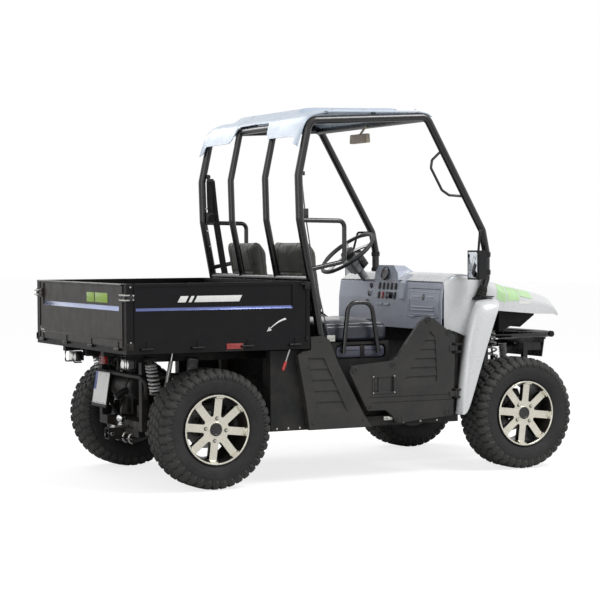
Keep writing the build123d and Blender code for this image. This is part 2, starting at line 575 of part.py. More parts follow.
gate = block(BED_REAR, BED_REAR + BED_WALL, -GATE_HALF, GATE_HALF, BED_DECK + SEAT, BED_TOP)
gate -= plate(crease(BED_REAR, -1), -GATE_HALF + 60, GATE_HALF - 60)
latch = block(BED_REAR - 6, BED_REAR, GATE_HALF - 56, GATE_HALF - 6, LATCH_Z - 26, LATCH_Z + 26)
for z in (LATCH_Z - LATCH_SPACING / 2, LATCH_Z + LATCH_SPACING / 2):
    latch += rod((BED_REAR - 6, GATE_HALF - 50, z), (BED_REAR - 6, BED_Y - 2, z), LATCH_BAR_R)
gate += both(latch)
for y in barrels(-GATE_HALF, GATE_HALF, 4):
    start = y + BARREL + SEAT
    gate += block(BED_REAR - 4, BED_REAR, start, start + BARREL, SIDE_AXIS_Z, SIDE_AXIS_Z + 40)
    gate += rod((GATE_AXIS_X, start, SIDE_AXIS_Z), (GATE_AXIS_X, start + BARREL, SIDE_AXIS_Z), HINGE_R)
    gate -= rod((GATE_AXIS_X, start - 5, SIDE_AXIS_Z), (GATE_AXIS_X, start + BARREL + 5, SIDE_AXIS_Z),
                HINGE_PIN_R + RUN)
    bed += block(GATE_AXIS_X, BED_REAR + 2, y, y + BARREL, SIDE_AXIS_Z - 6, SIDE_AXIS_Z + 6)
    bed += rod((GATE_AXIS_X, y, SIDE_AXIS_Z), (GATE_AXIS_X, y + BARREL, SIDE_AXIS_Z), HINGE_R)
    bed += rod((GATE_AXIS_X, y, SIDE_AXIS_Z), (GATE_AXIS_X, y + 2 * BARREL + 4, SIDE_AXIS_Z), HINGE_PIN_R)
keep("tailgate", gate)
keep("bed_tub", bed)

# strut under the bed: cylinder on the frame, rod with an eye between the bed's two ears
foot = Vector(STRUT_FOOT[0], STRUT_Y, STRUT_FOOT[1])
head = Vector(STRUT_HEAD[0], STRUT_Y, STRUT_HEAD[1])
along = (head - foot).normalized()
reach = (head - foot).length
cylinder = rod(tuple(foot), tuple(foot + along * (reach - 60)), 12)
cylinder += rod((foot.X, STRUT_Y - 12, foot.Z), (foot.X, STRUT_Y + 12, foot.Z), 14)
cylinder -= rod(tuple(foot + along * 30), tuple(foot + along * reach), 5 + RUN)
cylinder -= rod((foot.X, STRUT_Y - 30, foot.Z), (foot.X, STRUT_Y + 30, foot.Z), 6 + RUN)
cylinder -= block(foot.X - 30, foot.X + 30, STRUT_Y - 30, STRUT_Y - 16 + RUN, foot.Z - 30, foot.Z + 30)
keep("strut_cylinders", both(cylinder))
piston = rod(tuple(foot + along * 40), tuple(head), 5)
piston += rod((head.X, STRUT_Y - 9, head.Z), (head.X, STRUT_Y + 9, head.Z), 11)
keep("strut_rods", both(piston))

# ---------------------------------------------------------------- body sides
DOOR_AXIS_X = WHEELBASE - 448
DOOR_AXIS_Y = DOOR_Y + DOOR_T + 2
HINGE_Z = (440, 700)

sill = block(TYRE_R + 17, WHEELBASE - 410, FLOOR_Y, SILL_Y, RAIL_Z, RAIL_TOP + 4)
sill += block(TYRE_R + 17, 630, SILL_Y - 55, SILL_Y, RAIL_TOP + 4, BED_FLOOR - EDGE_RAIL[1] - GAP)
sill += block(WHEELBASE - 443, WHEELBASE - 410, SILL_Y - 55, SILL_Y, RAIL_TOP + 4, 800)
for z in HINGE_Z:
    for low in (z - 12, z + 30 + 1):
        sill += block(DOOR_AXIS_X - 6, WHEELBASE - 412, SILL_Y - 5, DOOR_AXIS_Y + 6, low, low + 11)
    sill += rod((DOOR_AXIS_X, DOOR_AXIS_Y, z - 12), (DOOR_AXIS_X, DOOR_AXIS_Y, z + 42), 4)
sills = both(sill) - frame - PARTS["cage_sides"]
keep("side_sills", sills)


QUARTER = [(564, RAIL_Z), (540, 459), (492, 707), (525, 727), (574, 731), (572, 803), (653, 806), (690, 783),
           (740, 660), (897, 376), (954, RAIL_Z)]
QUARTER_LOUVRE = [(554, 689), (653, 686), (802, 381), (621, 384)]
quarter = plate(QUARTER, SILL_Y + SEAT, PANEL_Y)
quarter -= louvres(QUARTER_LOUVRE, 383, 688, 5, PANEL_Y)
keep("quarter_panels", both(quarter) - PARTS["cage_sides"] - frame)

DOOR = [(824, 636), (1085, 655), (1117, 676), (1268, 869), (1321, 902)] + front(
    [(-591, 884), (-451, 784), (-466, 332)]) + [(1116, 305), (1084, 351), (1045, 381), (925, 382), (811, 603)]
DOOR_LOUVRE = front([(-618, 816), (-585, 782), (-572, 559), (-579, 525), (-606, 515)]) + [(1162, 511), (1156, 534)]
DOOR_LATCH = (956, 1104, 474, 577)     # x and z of the latch plate's edges
door_face = DOOR_Y + DOOR_T
door = plate(DOOR, DOOR_Y, door_face, PANEL_ROUND)
door -= louvres(DOOR_LOUVRE, 513, 816, 6, door_face)
for z in (420, 450):
    door -= block(940, WHEELBASE - 480, door_face - 3, door_face + 1, z, z + 6)
x0, x1, z0, z1 = DOOR_LATCH
door -= block(x0 + 12, x1 - 12, door_face - 10, door_face + 1, z0 + 12, z1 - 12)
door += block(x0 + 40, x1 - 34, door_face - 10, door_face - 2, z0 + 12, z1 - 12)
frame_bar = block(x0, x1, door_face, door_face + 3, z0, z1)
door += frame_bar - block(x0 + 9, x1 - 9, door_face - 1, door_face + 4, z0 + 9, z1 - 9)
for z in HINGE_Z:
    door -= block(DOOR_AXIS_X - 26, DOOR_AXIS_X + 20, DOOR_Y - 5, DOOR_Y + DOOR_T + 5, z - 16, z + 46)
    door += rod((DOOR_AXIS_X, DOOR_AXIS_Y, z), (DOOR_AXIS_X, DOOR_AXIS_Y, z + 30), 8)
    door += block(DOOR_AXIS_X - 44, DOOR_AXIS_X, DOOR_AXIS_Y - 6, DOOR_AXIS_Y + 2, z, z + 30)
    door -= rod((DOOR_AXIS_X, DOOR_AXIS_Y, z - 5), (DOOR_AXIS_X, DOOR_AXIS_Y, z + 35), 4 + RUN)
keep("door_left", door)
keep("door_right", mirror(door, about=Plane.XZ))

# ---------------------------------------------------------------- front body
BLADE_FRONT = front([(-185, 974), (-192, 888), (-261, 728), (-308, 586), (-370, 445), (-415, 351)])
BLADE_REAR = front([(-436, 334), (-428, 449), (-386, 704), (-376, 772), (-340, 900), (-288, 970)])
blade = plate(BLADE_FRONT + BLADE_REAR, BODY_Y - SKIN, FENDER_Y)
hollow_front = [(x + 30, z) for x, z in BLADE_FRONT]
hollow_rear = [(x + SKIN + 2, z) for x, z in BLADE_REAR]
blade -= plate(hollow_front + hollow_rear[:-1] + [(BLADE_REAR[-1][0] + 8, 962)], BODY_Y - 40, FENDER_Y - SKIN - 1)
side_body = plate(front([(-468, 800), (-468, 1082), (-245, 1082), (-245, 975), (-288, 965), (-340, 895),
                         (-376, 772), (-407, 806)]), BODY_Y - SKIN, BODY_Y)
keep("front_fenders", both(blade + side_body) - frame - PARTS["side_sills"] - PARTS["cage_sides"])

HOOD = (
    # x from the front axle, half width low, half width at the shoulder, shoulder z, crown z, lower edge z
    (-245, 616, 590, 1086, 1130, 965),
    (-60, 600, 560, 1062, 1108, 915),
    (200, 560, 500, 1018, 1072, 893),
    (400, 470, 415, 975, 1026, 884),
    (462, 400, 350, 925, 962, 872),
)


def hood_section(row, wall):
    x, low, shoulder, shoulder_z, crown_z, edge_z = row
    low, shoulder = low - wall, shoulder - wall
    half = [(low, edge_z - (30 if wall else 0)), (low, shoulder_z - 45), (shoulder, shoulder_z - wall),
            (0.45 * low, crown_z - 6 - wall)]
    points = half + [(-y, z) for y, z in reversed(half)]
    plane = Plane(origin=(WHEELBASE + x, 0, 0), x_dir=(0, 1, 0), z_dir=(1, 0, 0))
    return plane * make_face(Polyline(*points, close=True))


hood = loft([hood_section(row, 0) for row in HOOD], ruled=True)
inside = [(HOOD[0][0] - 10,) + HOOD[0][1:]] + list(HOOD[1:-1]) + [(HOOD[-1][0] - SKIN,) + HOOD[-1][1:]]
hood -= loft([hood_section(row, SKIN) for row in inside], ruled=True)
keep("hood", hood - PARTS["front_fenders"] - frame - PARTS["cage_sides"])

DASH_LINE = front([(-498, 812), (-495, 985), (-482, 1080), (-430, 1122), (-380, 1132), (-245 - SEAT, 1124)])
DASH_Y = BODY_Y - SKIN - SEAT
LID_Y = (-590, -238)
LID_Z = (886, 1046)
LID_T = 10
LID_GAP = 3
LID_BARREL_R = 5
LID_AXIS = (WHEELBASE - 502, LID_Z[0] - 2)
dash = plate(ribbon(DASH_LINE, SKIN), -DASH_Y, DASH_Y)
lid_window = block(WHEELBASE - 560, WHEELBASE - 440, LID_Y[0] - LID_GAP, LID_Y[1] + LID_GAP,
                   LID_Z[0] - LID_GAP, LID_Z[1] + LID_GAP)
dash -= lid_window
glove_bin = block(WHEELBASE - 492, WHEELBASE - 372, LID_Y[0] - 8, LID_Y[1] + 8, LID_Z[0] - 8, LID_Z[1] + 8)
glove_bin -= block(WHEELBASE - 560, WHEELBASE - 375, LID_Y[0] - 5, LID_Y[1] + 5, LID_Z[0] - 5, LID_Z[1] + 5)
outside = [(x, z) for x, z in DASH_LINE[:4]] + front([(-700, 1122), (-700, 812)])
glove_bin -= plate(outside, -DASH_Y, DASH_Y)
dash += glove_bin
lid_line = [(x - 1, z) for x, z in DASH_LINE]
lid = plate(ribbon(lid_line[:4], LID_T), LID_Y[0], LID_Y[1])
lid &= block(WHEELBASE - 560, WHEELBASE - 440, LID_Y[0], LID_Y[1], LID_Z[0], LID_Z[1])
lid_x, lid_z = LID_AXIS
for y in (LID_Y[0] + 30, LID_Y[1] - 90):
    dash += rod((lid_x, y, lid_z), (lid_x, y + 28, lid_z), LID_BARREL_R)
    dash += block(lid_x, lid_x + 10, y, y + 28, lid_z - LID_BARREL_R, lid_z - 1)
    dash += rod((lid_x, y, lid_z), (lid_x, y + 58, lid_z), 2)
    lid -= rod((lid_x, y - 1, lid_z), (lid_x, y + 58, lid_z), LID_BARREL_R + 1)
    lid += rod((lid_x, y + 28 + SEAT, lid_z), (lid_x, y + 56, lid_z), LID_BARREL_R)
    lid += block(lid_x, lid_x + 5, y + 28 + SEAT, y + 56, lid_z, lid_z + 10)
    lid -= rod((lid_x, y + 20, lid_z), (lid_x, y + 64, lid_z), 2 + RUN)
POD_Y = (-105, 195)      # instrument pod on the dash's top
POD_TOP = 1183
RIB_Y = (-200, -150)     # upright rib beside the glove box
pod_mid = (POD_Y[0] + POD_Y[1]) / 2


def pod_section(x, foot, top):
    low, high = POD_Y
    points = [(low, foot), (low + 18, foot + 0.6 * (top - foot)), (low + 60, top), (high - 60, top),
              (high - 18, foot + 0.6 * (top - foot)), (high, foot)]
    plane = Plane(origin=(WHEELBASE + x, 0, 0), x_dir=(0, 1, 0), z_dir=(1, 0, 0))
    return plane * make_face(Polyline(*points, close=True))


dash += loft([pod_section(-478, 1075, POD_TOP), pod_section(-400, 1115, POD_TOP - 4),
              pod_section(-320, 1115, 1131)], ruled=True)
rib_line = [(x - 14, z) for x, z in DASH_LINE[:3]] + [(DASH_LINE[3][0] - 8, DASH_LINE[3][1] + 8)]
dash += plate(rib_line[1:] + DASH_LINE[3:0:-1], *RIB_Y)
keep("dash", dash)
keep("glove_lid", lid)

FASCIA_Y = 370
GRILLE_Y = 200
SLOT_Y = 165
SLOTS = 4
FASCIA = [(60, 905), (60, 782), (83, 788), (329, 890), (338, 905)]
FASCIA_IN = [(60 + SKIN, 910), (60 + SKIN, 788), (82, 793), (322, 892), (331, 910)]
NOSE_BOX = [(230, 905), (230, 848), (290, 800), (328, 797), (430, 868), (440, 905)]
NOSE_BOX_IN = [(230, 910), (230, 854), (292, 804), (327, 802), (425, 870), (434, 910)]
fascia = plate(front(FASCIA), -FASCIA_Y, FASCIA_Y) + plate(front(NOSE_BOX), -GRILLE_Y, GRILLE_Y)
fascia -= plate(front(FASCIA_IN), -FASCIA_Y + SKIN, FASCIA_Y - SKIN)
fascia -= plate(front(NOSE_BOX_IN), -GRILLE_Y + SKIN, GRILLE_Y - SKIN)
(slot_x0, slot_z0), (slot_x1, slot_z1) = NOSE_BOX[3:5]
for index in range(SLOTS):
    x = slot_x0 + (index + 0.55) * (slot_x1 - slot_x0) / SLOTS
    z = slot_z0 + (index + 0.55) * (slot_z1 - slot_z0) / SLOTS
    fascia -= plate(front([(x - 6, z - 12), (x - 6, z + 12), (x + 6, z + 20), (x + 6, z - 4)]), -SLOT_Y, SLOT_Y)
tabs = both(block(WHEELBASE + 150, WHEELBASE + 190, FASCIA_Y - SKIN, BODY_Y, 895, 901))
fascia += tabs & loft([hood_section(row, SKIN + SEAT) for row in inside], ruled=True)
keep("front_fascia", fascia)
LAMP = [(150, 892), (150, 935), (250, 928), (330, 900), (330, 892)]
lamp_plane = Plane(origin=(WHEELBASE + 446, 0, 0), x_dir=(0, 1, 0), z_dir=(1, 0, 0))
lamp_face = make_face(Polyline(*LAMP, close=True))
PARTS["hood"] = PARTS["hood"] - both(extrude(lamp_plane * lamp_face, amount=30))
keep("headlamps", both(extrude(lamp_plane * offset(lamp_face, amount=-SEAT), amount=18)))

HOOP_Y = 290
HOOP_Z = 755
HOOP_X = WHEELBASE + FRONT_OVERHANG - 20
hoop_line = [(WHEELBASE + 25 + SEAT, RAIL_Y, HOOP_Z), (WHEELBASE + 200, HOOP_Y, HOOP_Z), (HOOP_X, HOOP_Y, HOOP_Z)]
hoop_line += [(x, -y, z) for x, y, z in reversed(hoop_line)]
bumper = pipe(hoop_line, 40, 45)
bumper += both(block(RAIL_FRONT, RAIL_FRONT + 30, RAIL_IN + 5, RAIL_OUT - 5, RAIL_Z, 700))
bumper += both(block(RAIL_FRONT, WHEELBASE + 466, RAIL_IN + 5, RAIL_OUT - 5, 655, 700))
face_plate = [(-260, 745), (-230, 612), (230, 612), (260, 745)]
bumper += prism(face_plate, WHEELBASE + 466, WHEELBASE + 472)
bumper += both(block(WHEELBASE + 460, HOOP_X, 225, 245, 720, HOOP_Z))
for y in (-FAIRLEAD / 2, FAIRLEAD / 2):
    bumper -= rod((WHEELBASE + 450, y, 680), (WHEELBASE + 490, y, 680), FAIRLEAD_R)
keep("bumper", bumper)

# ---------------------------------------------------------------- cab
seat_box = block(690, 1120, -FLOOR_Y + 2, FLOOR_Y - 2, RAIL_TOP + SKIN + SEAT, 762)
seat_box -= block(690 + SKIN, 1120 - SKIN, -FLOOR_Y + 6, FLOOR_Y - 6, RAIL_TOP, 758)
SIDE_POCKET = [(780, 668), (780, 748), (1100, 748), (1100, 668)]
seat_box += both(block(770, 1110, FLOOR_Y - 34, FLOOR_Y - 2, 658, 758))
seat_box -= both(plate(SIDE_POCKET, FLOOR_Y - 28, FLOOR_Y, 24))
keep("seat_base", seat_box)
seat_in, seat_out = SEAT_MID_Y - SEAT_W / 2, SEAT_MID_Y + SEAT_W / 2
cushion = [(700, 762 + SEAT), (700, 884), (1080, 888), (1132, 876), (1146, 840), (1138, 762 + SEAT)]
keep("seat_cushions", both(plate(cushion, seat_in, seat_out)))
back_line = [(742, 884.5 + SEAT), (690, 884.5 + SEAT), (612, 1325), (640, 1342), (668, 1335), (706, 1280), (752, 960)]
keep("seat_backs", both(plate(back_line, SEAT_MID_Y - BACK_W / 2, SEAT_MID_Y + BACK_W / 2)))

HIP_Y = FLOOR_Y - 2 + 13 + SEAT
hip = pipe([(820, HIP_Y, 700), (852, HIP_Y, 985), (1000, HIP_Y, 985), (1045, HIP_Y, 700)], 26, 60)
shoulder = pipe([(540, 632, 1444), (815, 632, 1440), (815, 632, 1215), (580, 632, 1170)], 26, 35)
handle_line = front([(-522, 1832), (-575, 1786), (-582, 1741), (-509, 1616), (-462, 1588), (-381, 1583)])
handle = pipe([(x, -CAGE_Y, z) for x, z in handle_line], 15, 20)
keep("side_bars", both(hip + shoulder) + handle)

axis_dir = (Vector(*COLUMN_FOOT) - Vector(*WHEEL_HUB)).normalized()
column = rod(COLUMN_FOOT, tuple(Vector(*WHEEL_HUB) + axis_dir * (30 + SEAT)), 24)
behind_dash = [(x - SEAT, z + SEAT) for x, z in DASH_LINE] + front([(-245, 812)])
shroud_low, shroud_high = SHROUD_SPAN
shroud_plane = Plane(origin=Vector(*WHEEL_HUB) + axis_dir * shroud_low, x_dir=(0, 1, 0), z_dir=axis_dir)
shroud_face = RectangleRounded(*SHROUD, 22)
column += extrude(shroud_plane * shroud_face, amount=shroud_high - shroud_low, taper=6)
column -= plate(behind_dash, -DASH_Y, DASH_Y)
keep("steering_column", column)
wheel_plane = Plane(origin=WHEEL_HUB, x_dir=(0, 1, 0), z_dir=-axis_dir)
wheel = Torus(STEERING_WHEEL_R, RIM_GRIP_R)
wheel += Pos(0, 0, -10) * Cylinder(34, 40)
for angle in (90, 210, 330):
    wheel += Rot(0, 0, angle) * block(20, STEERING_WHEEL_R - 4, -14, 14, -6, 2)
keep("steering_wheel", wheel_plane * wheel)

mirror_body = block(WHEELBASE - 355, WHEELBASE - 300, CAGE_Y + 28, 790, 1105, 1272)
mirror_arm = pipe([(WHEELBASE - 237, CAGE_Y, 1385), (WHEELBASE - 300, 720, 1385), (WHEELBASE - 325, 740, 1260)], 14, 15)
mirrors = both(mirror_body + mirror_arm)
keep("mirrors", mirrors)
MIRROR_X = WHEELBASE - 697
glass = prism([(-104, 1912), (-96, 1966), (96, 1966), (104, 1912)], MIRROR_X, MIRROR_X + 26, 10)
keep("cab_mirror", glass + rod((MIRROR_X + 13, 0, 1960), (MIRROR_X + 58, 0, 2018), 7))

plate_x, plate_z = HOOP_TOP[0] - HOOP_TUBE / 2 - SEAT, HOOP_TOP[2] + 2
plate_face = [(plate_x, plate_z), (plate_x - PLATE_LEAN, plate_z - PLATE[1])]
keep("number_plate", plate(ribbon(plate_face[::-1], -3), 105, 105 + PLATE[0]))
lamps = both(block(side_x, behind_side - SEAT, side_in, side_out, *LAMP_Z))
keep("tail_lamps", lamps + block(mid_x, behind_mid - SEAT, mid_in, mid_out, *LAMP_Z))
keep("front_arms", front_arms)
keep("chassis_frame", frame)

# pieces cut to meet what carries them
for name, carriers in (("rear_arms", ("chassis_frame", "rear_hubs")), ("front_arms", ("chassis_frame",)),
                       ("rear_shocks", ("rear_arms", "chassis_frame")),
                       ("front_shocks", ("front_arms", "chassis_frame")),
                       ("cage_sides", ("chassis_frame",)), ("cage_cross", ("cage_sides",)),
                       ("side_bars", ("cage_sides", "seat_base")), ("mirrors", ("cage_sides",)),
                       ("cab_mirror", ("cage_cross",)), ("roof", ("cage_sides", "cage_cross")),
                       ("dash", ("floor_pan",)), ("bumper", ("chassis_frame",)),
                       ("hitch_frame", ("chassis_frame",))):
    for carrier in carriers:
        PARTS[name] = PARTS[name] - PARTS[carrier]

os.makedirs("parts", exist_ok=True)
HALF_LENGTH = (REAR_OVERHANG + WHEELBASE + FRONT_OVERHANG) / 2
for name, shape in PARTS.items():
    moved = Pos(REAR_OVERHANG - HALF_LENGTH, 0, 0) * shape
    export_step(moved, os.path.join("parts", name + ".step"))
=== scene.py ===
# %% [markdown]
# # Dressing a side-by-side utility vehicle
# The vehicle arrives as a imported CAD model: 53 rigid nodes that ride on 18 bodies, joined by real hinges,
# axles and slides. This lesson leaves that frame where it is. It gives each surface a finish, and it puts
# finely shaped tyres, wheels, seats, springs and small fittings where the plain solids only hold the place.

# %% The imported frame
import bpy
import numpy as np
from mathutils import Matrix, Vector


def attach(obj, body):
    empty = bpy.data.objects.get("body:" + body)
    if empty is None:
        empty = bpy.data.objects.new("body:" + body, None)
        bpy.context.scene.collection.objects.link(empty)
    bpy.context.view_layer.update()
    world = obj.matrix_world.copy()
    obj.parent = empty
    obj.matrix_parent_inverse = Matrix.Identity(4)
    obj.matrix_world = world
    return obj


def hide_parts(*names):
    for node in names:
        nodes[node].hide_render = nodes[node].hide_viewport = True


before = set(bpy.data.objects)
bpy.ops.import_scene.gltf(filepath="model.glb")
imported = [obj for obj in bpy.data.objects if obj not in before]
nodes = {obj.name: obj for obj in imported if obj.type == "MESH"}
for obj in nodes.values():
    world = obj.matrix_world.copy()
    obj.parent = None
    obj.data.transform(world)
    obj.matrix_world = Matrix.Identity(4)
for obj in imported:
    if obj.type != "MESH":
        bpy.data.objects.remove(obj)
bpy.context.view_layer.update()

# %% [markdown]
# The box round the bare CAD model is kept, to be compared with the dressed one at the end. Sizes in this
# Sizes in this lesson are written as a workshop would: in millimetres, from the rear axle forward and from
# the ground up.

AXLE_TO_ORIGIN = 965
WHEELBASE = 1952
FORWARDS, BACKWARDS = (1, 0, 0), (-1, 0, 0)
TO_LEFT, TO_RIGHT, UPWARDS = (0, 1, 0), (0, -1, 0), (0, 0, 1)


def metres(points):
    """Millimetres from the rear axle as metres in the frame: x loses 965, then all is divided by 1000."""
    return (np.asarray(points, float) - (AXLE_TO_ORIGIN, 0, 0)) / 1000


# %% [markdown]
# A mesh is a list of points and a list of faces that name them by number. Here a *form* is such a pair: an
# array of points, and blocks of faces, each block an array with as many columns as its faces have corners.
# Worked out as whole arrays, a form with fifty thousand points takes no longer to write than a small one.

# %% Forms
def grid_faces(rows, columns, round_rows=False, round_columns=False):
    """Quads of a grid whose point (i, j) is number i * columns + j; a round direction joins end to start."""
    i = np.arange(rows if round_rows else rows - 1)[:, None]
    j = np.arange(columns if round_columns else columns - 1)[None, :]
    here, there = i * columns, (i + 1) % rows * columns
    beside = (j + 1) % columns
    return np.stack([here + j, here + beside, there + beside, there + j], -1).reshape(-1, 4)


def outward(form):
    """The form with its faces outwards: if the sum of p0 . (p1 x p2) over its faces is negative, all turn."""
    points, faces = form
    volume = 0
    for face_block in faces:
        for k in range(1, face_block.shape[1] - 1):
            p0, p1, p2 = points[face_block[:, 0]], points[face_block[:, k]], points[face_block[:, k + 1]]
            volume += (p0 * np.cross(p1, p2)).sum()
    return form if volume > 0 else (points, [face_block[:, ::-1] for face_block in faces])


def join(*forms):
    """Several forms as one: the face numbers of each move up by the points before it."""
    counts = np.cumsum([0] + [len(points) for points, _ in forms])
    faces = [face_block + start for (_, blocks), start in zip(forms, counts) for face_block in blocks]
    return np.concatenate([points for points, _ in forms]), faces


def copies(form, spots):
    """The form again at every spot: each copy's points are the form's points plus the spot."""
    points, faces = form
    spots = np.atleast_2d(np.asarray(spots, float))
    steps = len(points) * np.arange(len(spots))[:, None, None]
    return ((spots[:, None] + points[None]).reshape(-1, 3),
            [(face_block[None] + steps).reshape(-1, face_block.shape[1]) for face_block in faces])


def mirrored(form):
    """The form on the other side: y changes sign, and each face runs the other way round."""
    points, faces = form
    return points * (1, -1, 1), [face_block[:, ::-1] for face_block in faces]


def both_sides(form):
    """The form and its mirror image as one form."""
    return join(form, mirrored(form))


print("a 3 by 4 grid has", len(grid_faces(3, 4)), "faces")

# %% [markdown]
# Nearly everything on a machine is one of three shapes: a bar bent along a path, a plate with an outline,
# or something turned on a lathe. Each is a profile carried along a second direction, so each is a grid. A
# run of corners is drawn round first, because bent steel and moulded plastic have no sharp corners.

# %% Bars, plates and turned shapes
def rounded(points, radius, steps=5, closed=False):
    """Corners p drawn round: (1-t)^2 a + 2t(1-t) p + t^2 b, where a and b lie `radius` before and after p,
    but never more than 0.46 of the way to the next corner."""
    p = np.asarray(points, float)
    back, ahead = np.roll(p, 1, 0) - p, np.roll(p, -1, 0) - p
    reach = [np.minimum(radius / np.linalg.norm(d, axis=1), 0.46)[:, None] * d for d in (back, ahead)]
    t = np.linspace(0, 1, steps)[:, None, None]
    curve = (1 - t) ** 2 * (p + reach[0]) + 2 * t * (1 - t) * p + t ** 2 * (p + reach[1])
    curve = curve.transpose(1, 0, 2).reshape(-1, p.shape[1])
    return curve if closed else np.concatenate([p[:1], curve[steps:-steps], p[-1:]])


def bar(path, radius, sides=12, closed=False, up=UPWARDS):
    """A round bar: at each point of the path a ring of the given radius stands square to its direction."""
    path = np.asarray(path, float)
    ahead = np.roll(path, -1, 0) - np.roll(path, 1, 0) if closed else np.gradient(path, axis=0)
    side = np.cross(ahead, up)
    over = np.cross(side, ahead)
    side /= np.linalg.norm(side, axis=1)[:, None]
    over /= np.linalg.norm(over, axis=1)[:, None]
    turn = np.linspace(0, 2 * np.pi, sides, endpoint=False)[None, :, None]
    radius = np.broadcast_to(np.asarray(radius, float), len(path))[:, None, None]
    points = path[:, None] + radius * (side[:, None] * np.cos(turn) + over[:, None] * np.sin(turn))
    faces = [grid_faces(len(path), sides, closed, True)]
    if not closed:
        ring = np.arange(sides)[None]
        faces += [ring[:, ::-1], ring + (len(path) - 1) * sides]
    return outward((points.reshape(-1, 3), faces))


AXES = {"x": (1, 2, 0), "y": (0, 2, 1), "z": (0, 1, 2)}


def plate(outline, low, high, soft=2.0, along="y"):
    """An outline in two directions carried along the third, its edges rounded over `soft`: a ring that is
    drawn in by soft * (1 - sin t) stands soft * (1 - cos t) inside each face."""
    outline = np.asarray(outline, float)
    x, z = outline.T
    if (x * np.roll(z, -1) - z * np.roll(x, -1)).sum() < 0:
        outline = outline[::-1]
    edge = np.roll(outline, -1, 0) - outline
    after = np.stack([edge[:, 1], -edge[:, 0]], 1) / np.linalg.norm(edge, axis=1)[:, None]
    before = np.roll(after, 1, 0)
    mitre = (after + before) / np.maximum(1 + (after * before).sum(1), 0.4)[:, None]
    t = np.radians([0, 45, 90])
    inset, depth = soft * (1 - np.sin(t)), soft * (1 - np.cos(t))
    inset = np.concatenate([inset, inset[::-1]])
    level = np.concatenate([low + depth, high - depth[::-1]])
    rings = outline[None] - inset[:, None, None] * mitre[None]
    points = np.zeros(rings.shape[:2] + (3,))
    first, second, third = AXES[along]
    points[..., first] = rings[..., 0]
    points[..., second] = rings[..., 1]
    points[..., third] = level[:, None]
    count = len(outline)
    ring = np.arange(count)[None]
    faces = [grid_faces(6, count, False, True), ring[:, ::-1], ring + 5 * count]
    return outward((points.reshape(-1, 3), faces))


def rectangle(x0, x1, z0, z1, corner=0, steps=3):
    """The outline of a rectangle, with its corners drawn round where `corner` is more than 0."""
    outline = [(x0, z0), (x1, z0), (x1, z1), (x0, z1)]
    return rounded(outline, corner, steps, True) if corner else outline


def block(x0, x1, y0, y1, z0, z1, soft=2.0):
    """A box between two corners with rounded edges: a plate whose outline is a rectangle."""
    return plate(rectangle(x0, x1, z0, z1), y0, y1, soft)


def raised_line(outline, height):
    """A flat outline as a path in space, at one height in the third direction."""
    return np.concatenate([outline, np.full((len(outline), 1), height)], 1)


def turned(profile, centre, axis=TO_LEFT, sides=32, closed=False):
    """A lathe shape: profile point (radius r, distance d) becomes the ring centre + d axis + r (turning)."""
    r, d = np.asarray(profile, float).T
    axis = np.asarray(axis, float) / np.linalg.norm(axis)
    side = np.cross(axis, UPWARDS if abs(axis[2]) < 0.9 else FORWARDS)
    side /= np.linalg.norm(side)
    over = np.cross(side, axis)
    turn = np.linspace(0, 2 * np.pi, sides, endpoint=False)[None, :, None]
    rings = np.cos(turn) * side + np.sin(turn) * over
    points = np.asarray(centre, float) + d[:, None, None] * axis + r[:, None, None] * rings
    ring = np.arange(sides)[None]
    faces = [grid_faces(len(r), sides, closed, True)]
    if not closed:
        faces += [ring[:, ::-1], ring + (len(r) - 1) * sides]
    return outward((points.reshape(-1, 3), faces))


def button(centre, axis, radius, height, soft=1.0, sides=20):
    """A low disc such as a bolt head or a lamp, seated on its centre and rising along the axis."""
    profile = [(radius, -1), (radius, height - soft), (radius - soft, height)]
    return turned(profile, centre, axis, sides)


print("a bar with one bend has", len(bar(rounded([(0, 0, 0), (9, 0, 0), (9, 9, 0)], 3), 1)[0]), "points")

# %% [markdown]
# A finish is a small network of nodes. A soft noise shifts the colour a little, because no real surface has
# one colour; a fine noise is the grain, and drives the bump; another shifts the roughness, so that gloss
# breaks up. Dust gathers low on the vehicle, so a height ramp times a noise lets it in from below. The
# Bevel node rounds the CAD's sharp edges for light only, which leaves the mesh as it is.

# %% Nodes of a finish
DUST_HEIGHTS = 0.05, 1.1        # metres: dust is full at the first and an eighth of that at the second
DUST_LEFT = 0.12
COAT_ROUGHNESS, SHEEN_ROUGHNESS = 0.08, 0.4
ROUGHNESS_SWING = 0.07
BUMP_DEPTH = 0.001              # metres


def paint(red, green, blue):
    """Screen colour in 0-255 as linear light: c / 12.92 below 0.04045, else ((c + 0.055) / 1.055) ^ 2.4."""
    c = np.array([red, green, blue]) / 255
    return tuple(np.where(c <= 0.04045, c / 12.92, ((c + 0.055) / 1.055) ** 2.4)) + (1.0,)


def add_noise(tree, scale, detail, place):
    """A noise on the given coordinates."""
    noise = tree.nodes.new("ShaderNodeTexNoise")
    noise.inputs["Scale"].default_value = scale
    noise.inputs["Detail"].default_value = detail
    tree.links.new(place, noise.inputs["Vector"])
    return noise.outputs["Fac"]


def add_range(tree, value, low, high, new_low, new_high):
    """A value between low and high moved to between new_low and new_high."""
    ramp = tree.nodes.new("ShaderNodeMapRange")
    for socket, number in zip(ramp.inputs[1:5], (low, high, new_low, new_high)):
        socket.default_value = number
    tree.links.new(value, ramp.inputs[0])
    return ramp.outputs[0]


def add_mix(tree, share, first, second):
    """A colour between two, each a colour or another node's output."""
    mix = tree.nodes.new("ShaderNodeMix")
    mix.data_type = "RGBA"
    tree.links.new(share, mix.inputs["Factor"])
    for socket, colour in ((mix.inputs["A"], first), (mix.inputs["B"], second)):
        if isinstance(colour, bpy.types.NodeSocket):
            tree.links.new(colour, socket)
        else:
            socket.default_value = colour
    return mix.outputs["Result"]


